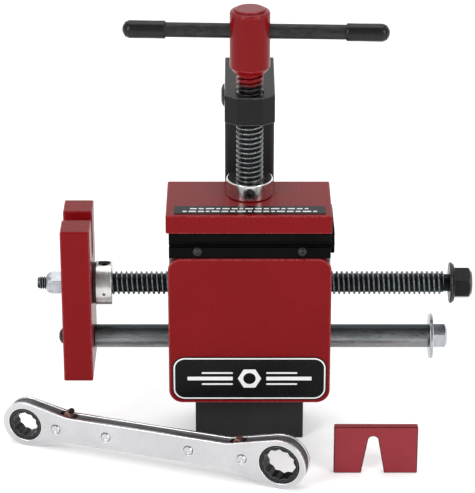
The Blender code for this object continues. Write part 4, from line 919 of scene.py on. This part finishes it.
def make_rod(f):
    """The guide rod, its button screw in the yoke, and its stop washer and bolt."""
    rod_put, rod_start, rod_end, radius = middle_line("guide_rod", "X")
    height = middle("guide_rod")[2]
    # Painted shade: the rod's top goes dark between two heights.
    shade_the_top(f["rod steel"], height + 0.45 * radius, height + 0.95 * radius,
                  (0.035, 0.042, 0.046))
    bolt_hole, bolt_depth, tapped_depth = 6.5 * MM, 25.3 * MM, 18.3 * MM
    piece("guide_rod_drawn",
          turned([(rod_start, ROD_TAPPING), (rod_start, radius), (rod_end, radius),
                  (rod_end, bolt_hole), (rod_end - bolt_depth, bolt_hole),
                  (rod_end - bolt_depth, 0.0)], rod_put, ROUND, ease=0.8 * MM) +
          turned([(rod_start, ROD_TAPPING), (rod_start + tapped_depth, ROD_TAPPING),
                  (rod_start + tapped_depth, 0.0)], rod_put, ROUND), f["rod steel"], "guide_rod")

    put, start, end, radius = middle_line("rod_button_screw", "X")
    head = start + 5.6 * MM
    angle = np.linspace(0.0, np.pi / 2, 10)
    dome = np.stack((head - 5.0 * MM * np.cos(angle) - 0.6 * MM, radius * np.sin(angle)), axis=1)
    shank = [(head, radius), (head, 4.0 * MM), (end, 4.0 * MM), (end, 0.0)]
    button = piece("button_screw_domed", turned(np.concatenate((dome, shank)), put, FINE),
                   f["black oxide"], "rod_button_screw")
    socketed(button, 4.8 * MM, start - MM, start + 3.2 * MM, put)

    put, start, end, radius = middle_line("rod_stop_washer", "X")
    piece("stop_washer_zinc",
          turned(sleeve(start, end, 6.8 * MM, radius), put, ROUND, True, 0.5 * MM), f["zinc"],
          "rod_stop_washer")
    low, high = ends("rod_stop_bolt")
    washer_end = end + PLAY
    flats = high[1] - low[1]
    bolt = piece("stop_bolt_zinc", hex_bar(flats, washer_end, high[0], rod_put), f["zinc"],
                 "rod_stop_bolt")
    drilled(bolt, cone_cutter(flats, high[0], rod_put, 2.4 * MM))
    shank = cylinder(rod_end - 25 * MM, washer_end - 0.02 * MM, BOLT_SHANK)
    piece("stop_bolt_shank", turned(shank, rod_put, FINE, ease=0.8 * MM), f["zinc"], body="yoke")


def make_drive_screw(f):
    """The drive screw's thread, its plain necks and the threaded stud past the yoke."""
    put, start, end, radius = middle_line("drive_screw", "X")
    root = radius - RIDGE_DEPTH
    thread_start = ends("drive_collar")[0][0] + 3.0 * MM
    thread_end = end - 20.0 * MM
    neck = ends("yoke")[1][0] + 0.6 * MM
    patches = threaded(thread_start, thread_end, radius, RIDGE_DEPTH, LEAD, put, FINE,
                       [(thread_start, root), (neck, root), (neck, STUD_RADIUS - 0.2 * MM)],
                       [(thread_end, NECK_RADIUS), (end, NECK_RADIUS), (end, 0.0)])
    stud_start = start + 1.2 * MM
    stud_end = ends("lock_nut")[1][0] - 1.0 * MM
    stud_root = STUD_RADIUS - STUD_RIDGE
    patches += threaded(stud_start, stud_end, STUD_RADIUS, STUD_RIDGE, STUD_LEAD, put, FINE,
                        [(stud_start, stud_root), (start, stud_root - 0.4 * MM), (start, 0.0)],
                        [(stud_end, STUD_RADIUS - 0.2 * MM), (neck, STUD_RADIUS - 0.2 * MM)])
    piece("drive_screw_threaded", patches, f["drive thread"], "drive_screw")


def make_drive_collar(f):
    """The thrust washer, and the silver collar with its pin hole and set screw."""
    bore = middle_line("drive_screw", "X")[3] + PLAY
    put, start, end, radius = middle_line("thrust_washer", "X")
    piece("thrust_washer_turned",
          turned(sleeve(start, end, bore, radius), put, ROUND, True, 0.4 * MM), f["black oxide"],
          "thrust_washer")
    put, start, end, collar_radius = middle_line("drive_collar", "X")
    collar = piece("drive_collar_turned",
                   turned(sleeve(start, end, bore, collar_radius), put, ROUND, True, 0.8 * MM),
                   f["turned steel x"], "drive_collar")
    height = middle("drive_screw")[2]
    pin_put = lying("Y", ((start + end) / 2 + 0.4 * MM, 0.0, height - 2.5 * MM))
    put, low, high, radius = middle_line("drive_collar_screw", "Z")
    hole = radius + 0.25 * MM
    rim = height + collar_radius
    drilled(collar,
            turned([(low - 2 * MM, 0.0), (low - 2 * MM, hole), (rim - 0.8 * MM, hole),
                    (rim + 1.5 * MM, hole + 2.3 * MM), (rim + 1.5 * MM, 0.0)], put, FINE),
            turned(cylinder(-15 * MM, -4 * MM, 1.3 * MM), pin_put, FINE))
    screw = piece("drive_collar_screw_turned",
                  turned(cylinder(low, high, radius), put, FINE, ease=0.6 * MM),
                  f["black oxide"], "drive_collar_screw")
    socketed(screw, 4.6 * MM, high - 3.0 * MM, high + MM, put)


def make_nut_and_head(f):
    """The lock nut on the stud and the flanged hex head at the other end."""
    put = middle_line("drive_screw", "X")[0]
    low, high = ends("lock_nut")
    flats = high[1] - low[1]
    hex_end = low[0] + 4.2 * MM
    bore = STUD_RADIUS + 0.4 * MM
    piece("lock_nut_zinc",
          hex_bar(flats, hex_end, high[0], put, STUD_RADIUS + 0.2 * MM) +
          turned([(hex_end + 0.3 * MM, bore), (hex_end + 0.3 * MM, flats * 0.50),
                  (hex_end - 1.6 * MM, flats * 0.49), (low[0] + 0.8 * MM, flats * 0.43),
                  (low[0], flats * 0.36), (low[0], bore)], put, FINE, True, 0.5 * MM),
          f["zinc"], "lock_nut")

    low, high = ends("drive_head")
    rim = (high[1] - low[1]) / 2
    flange_end = low[0] + FLANGE_THICKNESS
    bore = NECK_RADIUS + PLAY
    head = piece("drive_head_hex", hex_bar(HEAD_FLATS, flange_end - 0.5 * MM, high[0], put),
                 f["head oxide"], "drive_head")
    drilled(head, cone_cutter(HEAD_FLATS, high[0], put, 3.4 * MM))
    piece("drive_head_flange",
          turned([(low[0], bore), (low[0], rim - 0.5 * MM), (low[0] + 1.6 * MM, rim),
                  (flange_end - 0.4 * MM, rim - 2 * MM), (flange_end, HEAD_FLATS * 0.47),
                  (flange_end, bore)], put, ROUND, True, 0.6 * MM),
          f["head oxide"], body="drive_screw")


# ---- the wrench ----------------------------------------------------------------------------
def wrench_rule():
    """The wrench's own axes: x along it, y back through it, z across it, from its small ring."""
    tilt = math.asin((LARGE_HEAD - SMALL_HEAD) / WRENCH_CENTRES)
    ct, st = math.cos(WRENCH_TURN), math.sin(WRENCH_TURN)
    cl, sl = math.cos(tilt), math.sin(tilt)
    along = np.array([ct * cl, st * cl, sl])
    back = np.array([-st, ct, 0.0])
    up = np.array([-ct * sl, -st * sl, cl])
    low, high = ends("wrench_side_front")
    origin = np.array([low[0] + SMALL_HEAD, 0.0, low[2] + SMALL_HEAD])
    origin[0] = low[0] + SMALL_HEAD * math.sqrt(ct * ct * cl * cl + ct * ct * sl * sl)
    origin[1] = high[1] - SMALL_HEAD * abs(st) - SIDE_THICKNESS * ct
    return origin, along, up, back


def wrench_outline():
    """Two round heads and a straight grip; each flank touches its head's circle."""
    grip = GRIP_HEIGHT / 2
    parts = []
    for centre, head, neck, side in ((0.0, SMALL_HEAD, SMALL_NECK, 1),
                                     (WRENCH_CENTRES, LARGE_HEAD, LARGE_NECK, -1)):
        touch = math.degrees(math.atan2(grip, neck) + math.acos(head / math.hypot(neck, grip)))
        start = touch if side == 1 else 180 + touch
        flank = arc((centre, 0.0), head, start, start + 360 - 2 * touch, 72)
        if side == 1:
            parts += [flank, [(neck, -grip)]]
        else:
            parts += [[(centre - neck, -grip)], flank, [(centre - neck, grip), (SMALL_NECK, grip)]]
    return np.concatenate(parts)


def softened(outline):
    """Blend an outline's bends over a wider curve, point by point."""
    fine = stepped(outline, 1.5 * MM)
    for _ in range(3):
        fine = 0.5 * fine + 0.25 * (np.roll(fine, 1, axis=0) + np.roll(fine, -1, axis=0))
    return fine


def twelve_points(flats, centre):
    """A twelve-point socket: corners at flats / sqrt 3, valleys where two hexagons cross."""
    angle = np.radians(15.0 * np.arange(24))
    corner = flats / math.sqrt(3)
    valley = flats / 2 / math.cos(math.radians(15))
    reach = np.where(np.arange(24) % 2 == 0, corner, valley)
    points = np.stack((reach * np.cos(angle), reach * np.sin(angle)), axis=1)
    return eased(points, 0.6 * MM, steps=2)[0] + np.array(centre)


def toothed(radius, depth, teeth, centre):
    """A gear's outline: its radius dips by depth between teeth, with steep flanks."""
    angle = 2 * np.pi * np.arange(teeth * 6) / (teeth * 6)
    dip = np.array([0.0, 0.15, 0.85, 1.0, 0.85, 0.15])[np.arange(teeth * 6) % 6]
    reach = radius - depth * dip
    return np.array(centre) + np.stack((reach * np.cos(angle), reach * np.sin(angle)), axis=1)


def make_wrench(f):
    """Two chromed side plates, the core between them, rivets, ring gears and pawls."""
    origin, along, up, back = wrench_rule()
    put = placed(origin, along, up, back)
    large_centre = (WRENCH_CENTRES, 0.0)
    rivet_holes = [circle(RIVET_RADIUS + 0.3 * MM, FINE, (x, 0.0)) for x in RIVETS_AT]
    windows = [circle(SMALL_WINDOW, ROUND), circle(LARGE_WINDOW, ROUND, large_centre)]
    outline = softened(wrench_outline())
    for node, start in (("wrench_side_front", 0.0),
                        ("wrench_side_back", WRENCH_THICKNESS - SIDE_THICKNESS)):
        plate = slab([outline, *windows, *rivet_holes], start, start + SIDE_THICKNESS, put,
                     0.55 * MM)
        piece(node + "_satin", plate, f["satin chrome"], node)
    core_start = SIDE_THICKNESS + 0.3 * MM
    core_end = WRENCH_THICKNESS - core_start

    for node, window, flats, centre, teeth in (
            ("ring_small", SMALL_WINDOW, SMALL_FLATS, (0.0, 0.0), 36),
            ("ring_large", LARGE_WINDOW, LARGE_FLATS, large_centre, 42)):
        bore = twelve_points(flats, centre)
        hub = circle(window - 1.0 * MM, ROUND, centre)
        patches = slab([hub, bore], 0.3 * MM, WRENCH_THICKNESS - 0.3 * MM, put, 0.45 * MM)
        patches += slab([toothed(window + GEAR_STEP, 0.7 * MM, teeth, centre),
                         circle(window - 1.5 * MM, ROUND, centre)],
                        core_start + 0.3 * MM, core_end - 0.3 * MM, put, 0.15 * MM, 1)
        piece(node + "_gear", patches, f["black oxide"], node)

    for number, x in enumerate(RIVETS_AT, start=1):
        node = "wrench_rivet_%d" % number
        rivet_put = placed(origin + along * x, along, up, back)
        front = -1.0 * MM
        half = [(front + 0.45 * MM, 0.0), (front + 0.45 * MM, RIVET_RADIUS * 0.42),
                (front, RIVET_RADIUS * 0.58), (front, RIVET_RADIUS * 0.8),
                (-0.05 * MM, RIVET_RADIUS), (2.3 * MM, RIVET_RADIUS), (2.3 * MM, 2.4 * MM)]
        other = [(WRENCH_THICKNESS - s, r) for s, r in reversed(half)]
        piece(node + "_set", turned(half + other, rivet_put, FINE, ease=0.25 * MM),
              f["satin chrome"], node)

    for node, x in zip(("pawl_small", "pawl_large"), PAWLS_AT):
        half, top = 5.5 * MM, GRIP_HEIGHT / 2
        corners = [(x - half, top - 7.5 * MM), (x + half, top - 7.5 * MM), (x + half * 0.7, top),
                   (x + half * 0.3, top + 4 * MM), (x - half * 0.3, top + 4 * MM),
                   (x - half * 0.7, top)]
        piece(node + "_lever", slab([eased(corners, 1.6 * MM, steps=4)[0]], core_start + 0.3 * MM,
                                    core_end - 0.3 * MM, put, 0.6 * MM), f["pawl brown"], node)
    angle = np.linspace(0.0, np.pi, 15)
    ball = np.stack((WRENCH_THICKNESS / 2 - BALL_RADIUS * np.cos(angle),
                     BALL_RADIUS * np.sin(angle)), axis=1)
    ball_put = placed(origin + along * (PAWLS_AT[0] + 3.0 * MM) + up * (GRIP_HEIGHT / 2 + 4.4 * MM),
                      along, up, back)
    piece("pawl_small_ball", turned(ball, ball_put, FINE), f["head oxide"], body="small_pawl")


def make_adapter(f):
    """The slotted plate that stands on its notched edge."""
    low, high = ends("adapter_plate")
    x, height, half, radius = NOTCH
    crown = arc((x, low[2] + height - radius), radius, 180.0, 0.0, 24)
    corners = np.concatenate(([(low[0], low[2]), (x - half, low[2])], crown,
                              [(x + half, low[2]), (high[0], low[2]), (high[0], high[2]),
                               (low[0], high[2])]))
    box_slab("adapter_plate", "Y", "adapter_painted", f["adapter paint"], 0.0, 0.8 * MM,
             outline=eased(corners, 1.2 * MM, steps=3)[0])


# ---- the stage -----------------------------------------------------------------------------
def make_floor():
    mesh = bpy.data.meshes.new("floor")
    mesh.from_pydata([(-14, -14, 0), (14, -14, 0), (14, 14, 0), (-14, 14, 0)], [], [(0, 1, 2, 3)])
    floor = linked("floor", mesh)
    material = bpy.data.materials.new("pale_floor")
    material.use_nodes = True
    shader = material.node_tree.nodes["Principled BSDF"]
    shader.inputs["Base Color"].default_value = (0.92, 0.92, 0.92, 1.0)
    shader.inputs["Roughness"].default_value = 0.9
    shader.inputs["Specular IOR Level"].default_value = 0.1
    shader.inputs["Emission Color"].default_value = (1.0, 1.0, 1.0, 1.0)
    shader.inputs["Emission Strength"].default_value = FLOOR_GLOW
    mesh.materials.append(material)


def soft_light(name, at, aim, size, watts):
    """A rectangular lamp at a place, facing another."""
    lamp = bpy.data.lights.new(name, "AREA")
    lamp.shape = "RECTANGLE"
    lamp.size, lamp.size_y = size
    lamp.energy = watts
    made = linked(name, lamp)
    away = np.array(aim, float) - np.array(at, float)
    made.location = at
    made.rotation_euler = (math.acos(-away[2] / np.linalg.norm(away)), 0.0,
                           math.atan2(-away[0], away[1]))


def make_lights():
    """Soft lamps all round and a sky that is pale low down and dimmer overhead."""
    soft_light("left lamp", (-1.7, -1.9, 1.5), (0, 0, 0.15), (0.9, 1.9), 34)
    soft_light("right lamp", (1.8, -1.6, 1.3), (0, 0, 0.15), (0.7, 1.9), 24)
    soft_light("top lamp", (0.0, 0.6, 2.6), (0, 0, 0.1), (2.4, 1.6), 26)
    world = bpy.data.worlds.new("studio")
    bpy.context.scene.world = world
    world.use_nodes = True
    tree = world.node_tree
    way = add(tree, "ShaderNodeTexCoord").outputs["Generated"]
    parts = add(tree, "ShaderNodeSeparateXYZ", {"Vector": way})
    high = ranged(tree, parts.outputs["Z"], 0.25, 0.75, 1.0, 0.50)
    fore = ranged(tree, parts.outputs["Y"], -0.55, 0.25, 0.55, 1.0)
    rear = ranged(tree, parts.outputs["Y"], 0.4, 0.9, 1.0, 1.45)
    both = add(tree, "ShaderNodeMath", {0: high, 1: fore}, operation="MULTIPLY")
    both = add(tree, "ShaderNodeMath", {0: both.outputs["Value"], 1: rear}, operation="MULTIPLY")
    sky = tree.nodes["Background"]
    sky.inputs["Color"].default_value = (1.0, 1.0, 1.0, 1.0)
    tree.links.new(both.outputs["Value"], sky.inputs["Strength"])


def make_camera():
    """The camera, 24.2 degrees above the floor and square to the front plate."""
    lens = bpy.data.cameras.new("camera")
    lens.lens = 177.7
    lens.sensor_width = 36.0
    lens.clip_end = 60.0
    camera = linked("camera", lens)
    camera.location = (-0.01006, -1.85736, 1.00284)
    camera.rotation_euler = (math.radians(65.8), 0.0, 0.0)
    bpy.context.scene.camera = camera
    bpy.context.scene.view_settings.view_transform = "Standard"


finishes = make_finishes()
make_frame_pieces(finishes)
make_pads(finishes)
make_jaw_pieces(finishes)
make_clamp(finishes)
make_yoke(finishes)
make_rod(finishes)
make_drive_screw(finishes)
make_drive_collar(finishes)
make_nut_and_head(finishes)
make_wrench(finishes)
make_adapter(finishes)
for kept, finish_name in (("drive_nut", "bronze"), ("drive_bush", "bronze"),
                          ("rod_bush_left", "bronze"), ("rod_bush_right", "bronze"),
                          ("yoke_bush", "bronze"), ("column_cap", "black plastic"),
                          ("tip_retainer", "turned steel z"), ("wrench_core", "core steel")):
    for place in frame["nodes"][kept].material_slots:
        place.material = finishes[finish_name]["material"]
make_floor()
make_lights()
make_camera()
